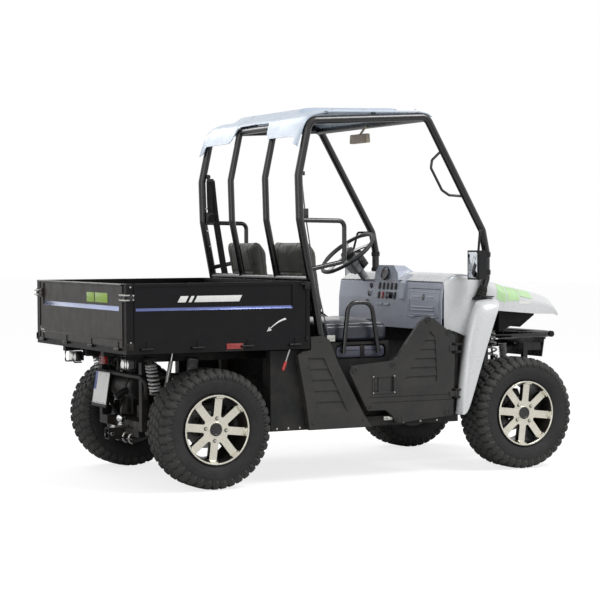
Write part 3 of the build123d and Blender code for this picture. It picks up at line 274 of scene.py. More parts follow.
def add_dust(tree, place, base, amount, colour):
    """Dust over the base colour: its share falls with height and is broken up by a noise."""
    height = tree.nodes.new("ShaderNodeSeparateXYZ")
    tree.links.new(place, height.inputs[0])
    low = add_range(tree, height.outputs["Z"], *DUST_HEIGHTS, amount, amount * DUST_LEFT)
    patch = add_range(tree, add_noise(tree, 9.0, 8.0, place), 0.42, 0.68, 0.0, 1.0)
    product = tree.nodes.new("ShaderNodeMath")
    product.operation = "MULTIPLY"
    tree.links.new(low, product.inputs[0])
    tree.links.new(patch, product.inputs[1])
    return add_mix(tree, product.outputs[0], base, paint(*colour))


def finish(name, colour, rough, metal=0.0, tint=0.12, tint_scale=5.0, grain=(300.0, 0.1), coat=0.0,
           soft_edge=0.0, dust=0.0, dust_colour=(120, 108, 88), sheen=0.0, shine=0.5):
    """A material: the grain is a noise's scale and its strength as bump, the soft edge is in millimetres."""
    material = bpy.data.materials.new(name)
    material.use_nodes = True
    tree = material.node_tree
    shader = tree.nodes["Principled BSDF"]
    base = paint(*colour)
    dark = tuple(c * (1 - tint) for c in base[:3]) + (1.0,)
    light = tuple(min(1.0, c * (1 + tint)) for c in base[:3]) + (1.0,)
    place = tree.nodes.new("ShaderNodeTexCoord").outputs["Object"]
    shade = add_range(tree, add_noise(tree, tint_scale, 5.0, place), 0.35, 0.65, 0.0, 1.0)
    result = add_mix(tree, shade, dark, light)
    if dust:
        result = add_dust(tree, place, result, dust, dust_colour)
    tree.links.new(result, shader.inputs["Base Color"])
    gloss = add_noise(tree, tint_scale * 7, 3.0, place)
    smoothest, roughest = max(rough - ROUGHNESS_SWING, 0.03), min(rough + ROUGHNESS_SWING, 1.0)
    tree.links.new(add_range(tree, gloss, 0.3, 0.7, smoothest, roughest), shader.inputs["Roughness"])
    shader.inputs["Metallic"].default_value = metal
    shader.inputs["Specular IOR Level"].default_value = shine
    shader.inputs["Coat Weight"].default_value = coat
    shader.inputs["Coat Roughness"].default_value = COAT_ROUGHNESS
    if sheen:
        shader.inputs["Sheen Weight"].default_value = sheen
        shader.inputs["Sheen Roughness"].default_value = SHEEN_ROUGHNESS
    bump = tree.nodes.new("ShaderNodeBump")
    bump.inputs["Strength"].default_value = grain[1]
    bump.inputs["Distance"].default_value = BUMP_DEPTH
    tree.links.new(add_noise(tree, grain[0], 3.0, place), bump.inputs["Height"])
    if soft_edge:
        bevel = tree.nodes.new("ShaderNodeBevel")
        bevel.samples = 4
        bevel.inputs["Radius"].default_value = soft_edge / 1000
        tree.links.new(bevel.outputs[0], bump.inputs["Normal"])
    tree.links.new(bump.outputs[0], shader.inputs["Normal"])
    return material


# %% [markdown]
# The numbers of a finish are, in order, its colour on screen, roughness, metal, the shift and the scale of
# its tint, its grain, the weight of a clear coat, the soft edge and the share of dust.

# %% Main finishes
body_silver = finish("body_silver", (216, 218, 219), 0.3, 0.1, 0.02, 2.0, (900, 0.02), 0.4)
# painted shade: the dash's silver is set darker and bluer than the body's, as the silver looks in shade
dash_silver = finish("dash_silver", (180, 186, 200), 0.42, 0.1, 0.04, 4.0, (1500, 0.1), 0.1, 2.5)
roof_silver = finish("roof_silver", (182, 198, 216), 0.34, 0.1, 0.03, 2.0, (900, 0.03), 0.3)
cage_black = finish("cage_black", (13, 13, 16), 0.24, 0.0, 0.15, 8.0, (700, 0.08), 0.35, 0.0, 0.05)
frame_black = finish("frame_black", (18, 18, 20), 0.5, 0.0, 0.2, 8.0, (600, 0.2), 0.0, 1.5, 0.2, shine=0.3)
bed_black = finish("bed_black", (13, 13, 16), 0.4, 0.0, 0.15, 4.0, (900, 0.1), 0.0, 1.6, 0.04, shine=0.2)
# painted reflection: the tailgate is the bed's black paint, set lighter and browner with a broad tint for the
# light it reflects; the liners and the latch paddle use this finish too
gate_black_and_sheen = finish("gate_black_and_sheen", (38, 34, 30), 0.36, 0.0, 0.16, 2.0, (900, 0.1), 0.08, 1.6, 0.06, shine=0.35)
panel_grey = finish("panel_grey", (47, 47, 46), 0.6, 0.0, 0.1, 5.0, (650, 0.7), 0.0, 2.5, 0.08, shine=0.35)
door_grey = finish("door_grey", (44, 44, 44), 0.58, 0.0, 0.1, 5.0, (650, 0.7), 0.0, 2.5, 0.08, shine=0.35)
trim_black = finish("trim_black", (20, 21, 23), 0.6, 0.0, 0.18, 7.0, (700, 0.5), 0.0, 2.0, 0.14, shine=0.3)
print("main finishes:", len(bpy.data.materials))

# %% [markdown]
# The small fittings need finishes of their own: bare and plated steel, cast alloy, rubber, webbing, lamp
# glass. Most differ from the painted ones only in their numbers. Lens glass stays opaque with a thick clear
# coat over a lit-looking colour, because a real lens hides its bulb behind ribs and a reflector. The clear
# lenses also glow a little though their lamps are off: painted light that brightens them in the shade.

# %% Finishes for fittings
steel = finish("steel", (168, 168, 166), 0.34, 0.9, 0.1, 9.0, (500, 0.2), 0.0, 1.0, 0.12)
zinc = finish("zinc", (186, 186, 180), 0.3, 0.9, 0.08, 30.0, (900, 0.15), 0.0, 0.6, 0.06)
chrome = finish("chrome", (226, 226, 228), 0.1, 1.0, 0.02, 6.0, (300, 0.02), 0.0, 0.0, 0.04)
cast = finish("cast", (96, 95, 92), 0.55, 0.6, 0.18, 12.0, (260, 0.8), 0.0, 2.0, 0.4)
spring_grey = finish("spring_grey", (182, 183, 182), 0.4, 0.1, 0.08, 9.0, (700, 0.15), 0.3, 0.0, 0.08)
rubber = finish("rubber", (22, 22, 22), 0.75, 0.0, 0.2, 14.0, (500, 0.4), 0.0, 0.8, 0.15, shine=0.3)
webbing = finish("webbing", (24, 24, 26), 0.8, 0.0, 0.2, 60.0, (1100, 0.9), 0.0, 0.0, 0.05, sheen=0.3)
seat_vinyl = finish("seat_vinyl", (66, 66, 60), 0.46, 0.0, 0.1, 6.0, (520, 0.45), 0.08, 0.0, 0.1)
# painted light: the cushions' copy of the seat vinyl is darker and tinted blue for the sky's light on them
seat_painted_sky_blue = finish("seat_painted_sky_blue", (40, 43, 55), 0.34, 0.0, 0.1, 6.0, (520, 0.4), 0.35, 0.0, 0.04)
# painted highlights: the next two finishes are pale bluish strips that stand for the sky reflected in the
# pressed ledges
glint = finish("glint", (168, 178, 214), 0.22, 0.9, 0.08, 3.0, (900, 0.05), 0.5)
ledge_sky_highlight = finish("ledge_sky_highlight", (92, 102, 150), 0.28, 0.8, 0.08, 3.0, (900, 0.05), 0.4)
duct_grey = finish("duct_grey", (150, 150, 150), 0.5, 0.0, 0.1, 9.0, (700, 0.2), 0.1, 0.0, 0.2)
tyre_rubber = finish("tyre_rubber", (37, 37, 38), 0.72, 0.0, 0.14, 7.0, (420, 0.6), 0.0, 0.0, 0.12,
                     (84, 82, 78), shine=0.35)
lug_rubber = finish("lug_rubber", (50, 50, 49), 0.7, 0.0, 0.2, 11.0, (420, 0.8), 0.0, 0.0, 0.16,
                    (92, 90, 84), shine=0.4)
wheel_face = finish("wheel_face", (222, 218, 204), 0.26, 0.75, 0.04, 12.0, (1600, 0.12), 0.2)
wheel_paint = finish("wheel_paint", (18, 17, 17), 0.35, 0.0, 0.15, 12.0, (500, 0.15), 0.2, 0.0, 0.12,
                     shine=0.35)
wheel_grip = finish("wheel_grip", (36, 36, 38), 0.55, 0.0, 0.1, 12.0, (900, 0.5))
grey_plastic = finish("grey_plastic", (120, 122, 124), 0.5, 0.0, 0.08, 9.0, (800, 0.3), 0.0, 1.5)
switch_black = finish("switch_black", (20, 20, 22), 0.32, 0.0, 0.1, 20.0, (900, 0.1), 0.3)
signal_red = finish("signal_red", (176, 22, 16), 0.3, 0.0, 0.1, 30.0, (500, 0.05), 0.8)
grey_case = finish("grey_case", (74, 76, 92), 0.4, 0.0, 0.1, 7.0, (700, 0.2), 0.15, 0.0, 0.1)
lens_red = finish("lens_red", (150, 24, 18), 0.16, 0.0, 0.12, 40.0, (90, 0.4), 1.0)
lens_clear = finish("lens_clear", (236, 236, 232), 0.2, 0.0, 0.06, 60.0, (120, 0.3), 1.0)
mirror_glass = finish("mirror_glass", (206, 212, 218), 0.04, 1.0, 0.02, 4.0, (80, 0.0))
mirror_back = finish("mirror_back", (196, 180, 160), 0.5, 0.0, 0.06, 9.0, (800, 0.2), 0.0, 1.5)
leaf_green = finish("leaf_green", (150, 190, 52), 0.4, 0.0, 0.08, 40.0, (300, 0.05), 0.4)
pale_green = finish("pale_green", (186, 222, 168), 0.35, 0.0, 0.06, 30.0, (300, 0.05), 0.4)
mark_white = finish("mark_white", (232, 233, 230), 0.4, 0.0, 0.04, 30.0, (300, 0.05), 0.4)
plate_white = finish("plate_white", (236, 237, 235), 0.35, 0.0, 0.03, 20.0, (400, 0.06), 0.4, 0.6)
plate_blue = finish("plate_blue", (40, 74, 152), 0.35, 0.0, 0.06, 30.0, (400, 0.06), 0.4)
# painted light: the clear lenses glow a little though their lamps are off
PAINTED_LENS_GLOW = 0.3
lit = lens_clear.node_tree.nodes["Principled BSDF"].inputs
lit["Emission Color"].default_value = paint(236, 236, 232)
lit["Emission Strength"].default_value = PAINTED_LENS_GLOW
print("finishes in all:", len(bpy.data.materials))

# %% [markdown]
# Each CAD node keeps its mesh and gets one of these finishes in its material slots. The table is the whole
# job: a node that is missing from it stops the script, because the lookup finds no finish for it.

# %% Finishes on the CAD nodes
NODE_FINISH = {
    body_silver: "hood front_fenders", roof_silver: "roof", dash_silver: "dash glove_lid",
    cage_black: "cage_sides cage_cross side_bars bumper", bed_black: "bed_tub bed_side_left bed_side_right",
    gate_black_and_sheen: "tailgate", frame_black: "chassis_frame rear_arms front_arms hitch_frame",
    panel_grey: "quarter_panels", door_grey: "door_left door_right",
    trim_black: "floor_pan side_sills front_fascia seat_base mirrors", grey_plastic: "steering_column",
    steel: "steering_rack strut_cylinders", chrome: "tow_ball strut_rods",
    cast: "engine_block rear_drive front_drive rear_hubs knuckle_left knuckle_right",
    lens_clear: "headlamps", lens_red: "tail_lamps", plate_white: "number_plate", mirror_back: "cab_mirror",
    seat_vinyl: "seat_cushions seat_backs", spring_grey: "rear_shocks front_shocks",
    wheel_grip: "steering_wheel",
    tyre_rubber: "tyre_rear_left tyre_rear_right tyre_front_left tyre_front_right",
    wheel_face: "rim_rear_left rim_rear_right rim_front_left rim_front_right",
}
node_finish = {name: material for material, names in NODE_FINISH.items() for name in names.split()}
for name, node in nodes.items():
    node.data.materials.clear()
    node.data.materials.append(node_finish[name])
print(len(nodes), "nodes have", len(NODE_FINISH), "finishes")

# %% [markdown]
# One function turns forms into a piece of the model. It writes the points and faces into a new mesh, puts a
# material on each form, and hands the object to a body of the frame, so that it moves with it.

# %% Making a piece
def as_mesh(name, form):
    """A form as one of Blender's meshes."""
    points, faces = form
    mesh = bpy.data.meshes.new(name)
    mesh.from_pydata(points.tolist(), [], [row for face_block in faces for row in face_block.tolist()])
    return mesh


def piece(name, body, parts, slot=None, stands_for=(), smooth_angle=38):
    """A mesh object from (material, form) pairs, riding on a body; its points arrive in millimetres."""
    points, faces = join(*[form for _, form in parts])
    mesh = as_mesh(name, (metres(points), faces))
    sizes = [sum(len(b) for b in form[1]) for _, form in parts]
    finishes = list(dict.fromkeys(material for material, _ in parts))
    for material in finishes:
        mesh.materials.append(material)
    number = np.repeat([finishes.index(material) for material, _ in parts], sizes)
    mesh.polygons.foreach_set("material_index", number.astype(np.int32))
    mesh.polygons.foreach_set("use_smooth", np.ones(len(number), bool))
    mesh.set_sharp_from_angle(angle=np.radians(smooth_angle))
    item = bpy.data.objects.new(name, mesh)
    bpy.context.scene.collection.objects.link(item)
    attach(item, body)
    if stands_for:
        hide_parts(*stands_for)
    print(name, "has", len(mesh.polygons), "faces")
    return item

# %% [markdown]
# ## Tyres
# An all-terrain tyre is a soft casing with rubber blocks on it: rows of blocks round the crown, and rounded
# shoulder lugs that wrap down onto the sidewall like fish scales. Modelling each block is slow work, so the
# tyre is one grid in two directions, round the wheel and across the section. A height in millimetres is
# worked out at every grid point from rounded boxes that repeat once a lug, and pushes the casing outwards.

# %% The tyre's section
TYRE_R, LUGS, LUG_STEPS, SECTION_STEPS = 325, 40, 14, 92
# half of the casing from bead to crown: distance from the wheel's middle plane, distance from the axle
SECTION = [(95, 179), (95, 190), (104, 197), (116, 215), (124.3, 247), (123, 268), (118, 286), (108, 303),
           (92, 311.5), (62, 314), (30, 315), (-30, 315)]
half = rounded(SECTION, 16, 4)[:-1]
half = half[half[:, 0] >= -1]
section = np.concatenate([half, half[::-1] * (-1, 1)])
run = np.concatenate([[0], np.cumsum(np.linalg.norm(np.diff(section, axis=0), axis=1))])
fine = np.linspace(0, run[-1], SECTION_STEPS)
across = np.stack([np.interp(fine, run, section[:, k]) for k in (0, 1)], 1)
spread = fine - run[-1] / 2
lean = np.gradient(across, axis=0)
lean = np.stack([-lean[:, 1], lean[:, 0]], 1) / np.linalg.norm(lean, axis=1)[:, None]
lean *= np.sign((lean * (across - (0, 250))).sum(1))[:, None]
print("the section is", round(run[-1]), "mm from bead to bead")

# %% Height of the tread
PITCH = 2 * np.pi * TYRE_R / LUGS
SHOULDER, TOOTH, BLOCK, CENTRE = 10.4, 4.6, 9.6, 9.2     # how far each kind of lug stands proud
SHOULDER_W, TOOTH_W, BLOCK_W = 106, 129, 42              # and how far its middle is across from the crown


def scale_box(u, w, half_u, half_w, corner):
    """Signed distance to a box with round corners: length of max(|p| - half + corner, 0), less corner."""
    beyond_u = np.maximum(np.abs(u) - half_u + corner, 0)
    beyond_w = np.maximum(np.abs(w) - half_w + corner, 0)
    return np.hypot(beyond_u, beyond_w) - corner


def raise_box(distance, height, wall=1.6):
    """Full height inside, none outside, a wall between them: height * clip(0.5 - distance / wall)."""
    return height * np.clip(0.5 - distance / wall, 0, 1)


def near(u, shift):
    """Distance round the tyre from the nearest of the spots that repeat once a lug from `shift`."""
    return (u - shift + PITCH / 2) % PITCH - PITCH / 2


def side_lugs(u, out, start):
    """Height of one side's shoulder lugs, teeth and blocks, `out` mm from the middle."""
    on_lug = near(u, start + 3)
    shoulder = scale_box(on_lug, out - SHOULDER_W, 19.5 - 0.12 * np.clip(out - 100, 0, 60), 37, 17)
    crown = 1 - 0.35 * np.clip((on_lug / 18) ** 2, 0, 1) * (out > 92)
    height = np.maximum(0, raise_box(shoulder, SHOULDER, 3.0) * crown)
    tooth = scale_box(near(u, start + 3 + PITCH / 2), out - TOOTH_W, 7.5 - 0.1 * (out - TOOTH_W), 15, 6)
    height = np.maximum(height, raise_box(tooth, TOOTH, 2.5))
    slant = near(u, start + PITCH / 2 + 0.32 * (out - 40))
    block_face = scale_box(slant, out - BLOCK_W, 18, 18, 7)
    sipe = scale_box(slant, out - BLOCK_W - 1, 1.3, 15, 1)
    return np.maximum(height, raise_box(block_face, BLOCK) - raise_box(sipe, 3.0))


def tread(u, w):
    """Height at u mm round the tyre and w mm across it from the middle, as the highest of its blocks."""
    height = np.zeros(np.broadcast(u, w).shape)
    for side in (-1, 1):
        out = side * w
        height = np.maximum(height, side_lugs(u, out, 0.25 * PITCH * side))
        height += raise_box(np.abs(out - 158) - 1.6, 1.0) + raise_box(np.abs(out - 181) - 2.2, 1.4)
    centre = scale_box(near(u, 0.15 * w), w, 20, 14, 6)
    return np.maximum(height, raise_box(centre, CENTRE) - raise_box(np.abs(w) - 1.2, 2.5))


turn = np.arange(LUGS * LUG_STEPS) * 2 * np.pi / (LUGS * LUG_STEPS)
lift = tread((turn * TYRE_R)[:, None], spread[None])
print("blocks stand up to", round(float(lift.max()), 1), "mm proud")

# %% [markdown]
# The grid is bent round once and then set on each axle. A wheel's own directions are forward, up and out
# along the axle; on the left the last one points the other way, and the faces turn over with it. Faces on a
# raised block take the dustier rubber, the rest the darker one.

# %% Tyres on their wheels
REAR_OUT, FRONT_OUT = 600, 635
WHEELS = (("rear_left", 0, REAR_OUT, 1), ("rear_right", 0, -REAR_OUT, -1),
          ("front_left", WHEELBASE, FRONT_OUT, 1), ("front_right", WHEELBASE, -FRONT_OUT, -1))
RAISED = 2.5              # mm of height from which a face belongs to a block


def onto_wheel(form, x, y, side):
    """Wheel directions (a, b, out) become (x + a, y + side * out, TYRE_R + b)."""
    points, faces = form
    a, b, out = points.T
    placed = np.stack([x + a, y + side * out, TYRE_R + b], 1)
    return placed, [face_block[:, ::-1] if side > 0 else face_block for face_block in faces]


bulge = across[None] + lift[..., None] * lean[None]
tyre_points = np.stack([bulge[..., 1] * np.cos(turn)[:, None], bulge[..., 1] * np.sin(turn)[:, None],
                        bulge[..., 0]], -1).reshape(-1, 3)
tyre_form = outward((tyre_points, [grid_faces(len(turn), len(across), True, True)]))
raised = lift.reshape(-1)[tyre_form[1][0]].mean(1) > RAISED
for name, x, y, side in WHEELS:
    tyre = piece("tyre_tread_" + name, "wheel_" + name, [(lug_rubber, onto_wheel(tyre_form, x, y, side))],
                 "tyre", ["tyre_" + name], 50)
    tyre.data.materials.append(tyre_rubber)
    tyre.data.polygons.foreach_set("material_index", np.where(raised, 0, 1).astype(np.int32))

# %% [markdown]
# ## Wheels
# The cast wheels have a machined face in a pale champagne tone and black pockets. The barrel is turned on a
# lathe. The spider is one plate whose outline runs round eight straight spokes, with a round throat between
# each pair; its top is machined and its walls are black. At its end a spoke steps up to the lip.

# %% The spider
SPOKES, SPOKE_HALF, SPOKE_END, THROAT_R = 8, 23, 163, 9
FACE, LIP = 88, 110             # how far out the machined face and the rim's lip stand
FIRST_SPOKE = 83.5
spoke_angles = np.radians(FIRST_SPOKE + 45 * np.arange(SPOKES))
throat = (SPOKE_HALF + THROAT_R) / np.sin(np.pi / SPOKES)
arc = np.radians(np.linspace(-66, 66, 7))
throat_line = np.stack([throat - THROAT_R * np.cos(arc), THROAT_R * np.sin(arc)], 1)
spoke_line = np.array([(SPOKE_END, -SPOKE_HALF), (SPOKE_END, SPOKE_HALF)], float)


def turned_about(points, angle):
    """Points (a, b) or (a, b, c) with their first two turned by an angle: (a cos - b sin, a sin + b cos)."""
    c, s = np.cos(angle), np.sin(angle)
    flat = np.stack([points[:, 0] * c - points[:, 1] * s, points[:, 0] * s + points[:, 1] * c], 1)
    return np.concatenate([flat, points[:, 2:]], 1)


outline = np.concatenate([np.concatenate([turned_about(spoke_line, angle),
                                          turned_about(throat_line, angle + np.pi / SPOKES)])
                          for angle in spoke_angles])
spider_points, (spider_walls, spider_back, spider_face) = plate(outline, FACE - 32, FACE, 1.6, "z")
STEP = [(154, 58), (161.5, 88), (165, 89), (171, LIP - 3), (183, LIP - 1), (183, 60)]
step_points, step_faces = plate(STEP, -SPOKE_HALF, SPOKE_HALF, 1)
steps = [(turned_about(step_points, angle), step_faces) for angle in spoke_angles]
print("the spider's outline has", len(outline), "points")

# %% Barrel, cap and nuts
NUT_RING = 60


def on_axle(profile, sides, closed=False):
    """A lathe shape round the wheel's own axle, which is its third direction."""
    return turned(profile, (0, 0, 0), UPWARDS, sides, closed)


barrel = on_axle([(166, -103), (186, -103), (187.5, -98), (184, -95), (178, -92), (178, 92), (184, 95),
                  (187.5, 98), (187.5, LIP), (186, LIP + 2), (180, LIP + 2), (178.5, LIP), (176, 100),
                  (170, 84), (167, 60), (160, 20), (160, -60), (166, -90)], 96, True)
lip = on_axle([(187.8, LIP - 4), (187.8, LIP + 1.2), (186.4, LIP + 2.6), (180.2, LIP + 2.6), (178.6, LIP + 1),
               (178.6, LIP - 4)], 96, True)
hub_back = on_axle([(20.5, 22), (66, 22), (70, 40), (70, FACE - 20), (20.5, FACE - 20)], 48, True)
cap = on_axle([(0.5, 70), (35, 70), (35, FACE + 5), (33, FACE + 7), (26, FACE + 7.5), (24, FACE + 6),
               (0.5, FACE + 6)], 40)
cap_ring = on_axle([(36, FACE - 1), (41, FACE - 1), (41, FACE + 1.5), (39.5, FACE + 2.5), (36, FACE + 2.5)],
                   40, True)
nut_well = on_axle([(11, FACE - 0.5), (14, FACE - 0.5), (14, FACE + 0.8), (11, FACE + 0.8)], 24, True)
nut_floor = on_axle([(0.4, FACE - 2), (11.5, FACE - 2), (11.5, FACE + 0.6), (0.4, FACE + 0.6)], 24)
nut = on_axle([(0.4, FACE), (8.5, FACE), (8.5, FACE + 7), (6.5, FACE + 11), (0.4, FACE + 12)], 6)
valve = bar([(146, 92, 84), (150, 95, 100), (152, 96, 108)], 3.2, 10)


def wheel_parts(x, y, side):
    """Every part of one wheel, set on its axle; the front wheels' nuts lie on the other four spokes."""
    nut_angles = np.radians(FIRST_SPOKE + (45 if x else 0) + 90 * np.arange(4))
    nuts = [(NUT_RING * np.cos(a), NUT_RING * np.sin(a), 0) for a in nut_angles]
    parts = [(wheel_face, (spider_points, [spider_face])),
             (wheel_paint, (spider_points, [spider_walls, spider_back])),
             (wheel_paint, barrel), (wheel_face, lip), (wheel_paint, hub_back), (switch_black, cap),
             (wheel_face, cap_ring), (wheel_face, copies(nut_well, nuts)), (rubber, valve),
             (wheel_paint, copies(nut_floor, nuts)), (zinc, copies(nut, nuts))]
    parts += [(wheel_face, step) for step in steps]
    return [(material, onto_wheel(form, x, y, side)) for material, form in parts]


for name, x, y, side in WHEELS:
    piece("wheel_face_" + name, "wheel_" + name, wheel_parts(x, y, side), "wheel_alloy", ["rim_" + name], 30)

# %% [markdown]
# ## Seats
# Each seat is foam under stretched vinyl: its faces crown, its sides pull in between the corners, and sewn
# seams sink into it. A cloth simulation does the crowning. The pad's plain shape, a little small, is
# remeshed into even squares and blown up for twenty frames without gravity; then no point may have moved
# more than a cap, and nothing may go below the pan it rests on. Only one of each is simulated, and the
# other seat's is its mirror image. Seams are pressed in afterwards, because the remesh would erase them.

# %% Stuffing a pad
FRAMES, PRESSURE, VOXEL = 20, 4, 0.008       # cloth frames, pressure, size in metres of the remesh's squares
SEAM_DEPTH, SEAM_WIDTH, FAR_OFF = 3.6, 4.5, 99


def coordinates(mesh, what="co"):
    """A mesh's points, or with what="normals" its normals, as an array of three columns."""
    data = np.zeros(len(mesh.vertices) * 3)
    if what == "co":
        mesh.vertices.foreach_get("co", data)
    else:
        mesh.vertex_normals.foreach_get("vector", data)
    return data.reshape(-1, 3)


def applied(item, name):
    """The object's mesh with its modifiers worked out, and the modifiers gone."""
    graph = bpy.context.evaluated_depsgraph_get()
    mesh = bpy.data.meshes.new_from_object(item.evaluated_get(graph))
    mesh.name = name
    item.modifiers.clear()
    item.data = mesh
    return mesh


def blown_up(item, name, rest, cap):
    """Points after the cloth frames: rest + move * min(1, cap / |move|) for every point."""
    cloth = item.modifiers.new("stuffing", "CLOTH")
    cloth.settings.use_pressure = True
    cloth.settings.uniform_pressure_force = PRESSURE
    cloth.settings.effector_weights.gravity = 0
    cloth.settings.quality = 5
    for number in range(1, FRAMES + 1):
        bpy.context.scene.frame_set(number)
    move = coordinates(applied(item, name)) - rest
    far = np.linalg.norm(move, axis=1)[:, None]
    bpy.context.scene.frame_set(1)
    return rest + move * np.minimum(1, cap / 1000 / np.maximum(far, 1e-9))


def stuffed(name, form, cap):
    """The pad remeshed, blown up by at most `cap` mm and subdivided once: its points, faces and normals."""
    item = bpy.data.objects.new(name, as_mesh(name, (metres(form[0]), form[1])))
    bpy.context.scene.collection.objects.link(item)
    even = item.modifiers.new("even", "REMESH")
    even.mode, even.voxel_size = "VOXEL", VOXEL
    rest = coordinates(applied(item, name))
    rest = blown_up(item, name, rest, cap)
    item.data.vertices.foreach_set("co", rest.ravel())
    smooth = item.modifiers.new("smooth", "SUBSURF")
    smooth.levels = smooth.render_levels = 1
    mesh = applied(item, name)
    bpy.data.objects.remove(item)
    corners = np.zeros(len(mesh.loops), np.int32)
    mesh.loops.foreach_get("vertex_index", corners)
    print(name, "is stuffed:", len(mesh.polygons), "faces")
    points = coordinates(mesh) * 1000 + (AXLE_TO_ORIGIN, 0, 0)
    return points, [corners.reshape(-1, 4)], coordinates(mesh, "normals")


def sewn(points, normals, seams):
    """Seams pressed in: each moves a point in by SEAM_DEPTH * exp(-(distance / SEAM_WIDTH)^2). A seam is
    given as the points that it may reach and the distance of every point to it."""
    for reach, distance in seams:
        apart = np.where(reach, np.abs(distance), FAR_OFF)
        points = points - normals * (SEAM_DEPTH * np.exp(-(apart / SEAM_WIDTH) ** 2))[:, None]
    return points


# %% [markdown]
# A seam is given by the distance of every point to it. Points that it must not reach get a distance of
# 99 mm, where nothing of it is left. The cushion has a seam round its side and a panel sewn into its top; the
# backrest has one down each side of its middle, and those lean together towards the top.

# %% Cushion and backrest
SEAT_Y = 315                                 # middle of the left seat
CUSHION_TOP, SIDE_SEAM_Z = 865, 852
PANEL_HALF, PANEL_SEAMS = 178, (1010, 830)   # half the panel's width, x of the seams across it
BACK_SEAM_Z = 1150
# least and greatest y and z of each pad
CUSHION_ROOM, BACK_ROOM = ((43, 762.6), (588, 893)), ((103, 889), (527, np.inf))
CUSHION = rounded([(706, 765), (706, 872), (1074, 878), (1122, 866), (1137, 838), (1130, 765)], 18, 3, True)
BACK = rounded([(736, 892), (698, 892), (620, 1318), (641, 1334), (662, 1327), (699, 1277), (744, 962)],
               14, 3, True)
points, faces, normals = stuffed("cushion", plate(CUSHION, 56, 574, 20), 13)
x, y, z = points.T
aside = np.abs(y - SEAT_Y)
on_top = z > CUSHION_TOP
in_panel = on_top & (aside < PANEL_HALF)
seams = [(z > 800, z - SIDE_SEAM_Z), (on_top, aside - PANEL_HALF)]
points = sewn(points, normals, seams + [(in_panel, x - seam_x) for seam_x in PANEL_SEAMS])
points[:, 1:] = np.clip(points[:, 1:], *CUSHION_ROOM)
cushion_form = (points, faces)
points, faces, normals = stuffed("backrest", plate(BACK, 116, 514, 18), 11)
x, y, z = points.T
aside = np.abs(y - SEAT_Y)
seam_out = 138 - 30 * np.clip((z - BACK_SEAM_Z) / 150, 0, 1)
side_line = 727 - (z - 884) * 0.166
seams = [(z > 905, x - side_line), (aside < seam_out, z - BACK_SEAM_Z), (z > 0, aside - seam_out)]
points = sewn(points, normals, seams)
points[:, 1:] = np.clip(points[:, 1:], *BACK_ROOM)
back_form = (points, faces)

# %% Four pads
# the cushions take the vinyl with its painted blue sky tint, the backrests the plain vinyl
PADS = (("cushion", cushion_form, "seat_cushions", seat_painted_sky_blue),
        ("backrest", back_form, "seat_backs", seat_vinyl))
for name, form, node, cover in PADS:
    for side, shape in (("left", form), ("right", mirrored(form))):
        pad = piece("seat_" + name + "_" + side, "chassis", [(cover, shape)], "seat_vinyl", [node], 60)

# %% [markdown]
# The belts are flat webbing, 46 mm wide. A retractor on the cage's rear leg feeds the strap down past the
# seat to an anchor at its foot, and a buckle stands on a short stalk beside the inner edge. A strap is a flat
# ring of six points carried along its path, always with the same width direction.
# Most fittings come in pairs, left and right, so a short function makes the piece from one side's forms.

# %% Belts
def strap(path, wide, width, thick=2.2):
    """Webbing: points path + u * wide + v * out round a flat ring, out square to wide and to the path."""
    path = rounded(path, 60, 6)
    wide = np.asarray(wide, float) / np.linalg.norm(wide)
    ahead = np.gradient(path, axis=0)
    out = np.cross(ahead, wide)
    out /= np.linalg.norm(out, axis=1)[:, None]
    u = np.array([-1, -0.9, 0.9, 1, 0.9, -0.9]) * width / 2
    v = np.array([0, 1, 1, 0, -1, -1]) * thick / 2
    points = path[:, None] + u[:, None] * wide + v[:, None] * out[:, None]
    ring = np.arange(6)[None]
    faces = [grid_faces(len(path), 6, False, True), ring[:, ::-1], ring + (len(path) - 1) * 6]
    return outward((points.reshape(-1, 3), faces))


def twin_piece(name, body, parts, *more):
    """A piece from forms of the left side, each with its mirror image."""
    return piece(name, body, [(material, both_sides(form)) for material, form in parts], *more)


ACROSS_BELT = (0.55, -0.83, 0.1)
belt = strap([(566, 596, 1700), (590, 596, 1480), (640, 594, 1180), (700, 594, 930), (736, 594, 800)],
             ACROSS_BELT, 46)
belt_return = strap([(556, 606, 1700), (560, 609, 1560), (566, 609, 1500)], ACROSS_BELT, 44)
guide = join(block(544, 578, 588, 622, 1690, 1712, 5), button((552, 622, 1724), TO_RIGHT, 13, 16, 2))
retractor = block(535, 600, 598, 621, 1436, 1508, 6)
reel = button((568, 598, 1472), TO_RIGHT, 24, 9, 3)
anchor = block(712, 765, 600, 616, 770, 806, 4)
stalk = strap([(722, 30, 784), (735, 30, 860), (752, 30, 925)], (0.95, 0, -0.2), 26, 5)
buckle = block(736, 772, 16, 42, 905, 968, 6)
press_button = block(742, 766, 20, 38, 966, 972, 1.5)
twin_piece("seat_belts", "chassis", [
    (webbing, belt), (webbing, belt_return), (switch_black, guide), (switch_black, retractor),
    (trim_black, reel), (zinc, anchor), (webbing, stalk), (switch_black, buckle), (signal_red, press_button)])
CAGE_BOLTS = [(548, 622, 1395), (541, 622, 1530), (566, 622, 1300)]
twin_piece("cage_bolts", "chassis", [(zinc, copies(button((0, 0, 0), TO_RIGHT, 7, 5), CAGE_BOLTS))])

# %% [markdown]
# ## Springs, brakes and boots
# The CAD holds each shock absorber's room with a stack of rings. The real spring is a helix: a point goes
# round the damper while it climbs, and a thin bar is carried along it. Its climb eases at both ends, where
# it meets the spring seats. The damper inside is turned on the lathe.

# %% Shock absorbers
COIL_R, WIRE_R, STEPS_PER_TURN, EASE = 28, 5.6, 20, 0.04
SEAT_SHARE = 0.015          # how far beyond each end of the spring its seat lies, as a share of the length


def line_of(foot, head):
    """Foot, direction and length of the line between two points."""
    foot, head = np.asarray(foot, float), np.asarray(head, float)
    length = np.linalg.norm(head - foot)
    return foot, (head - foot) / length, length


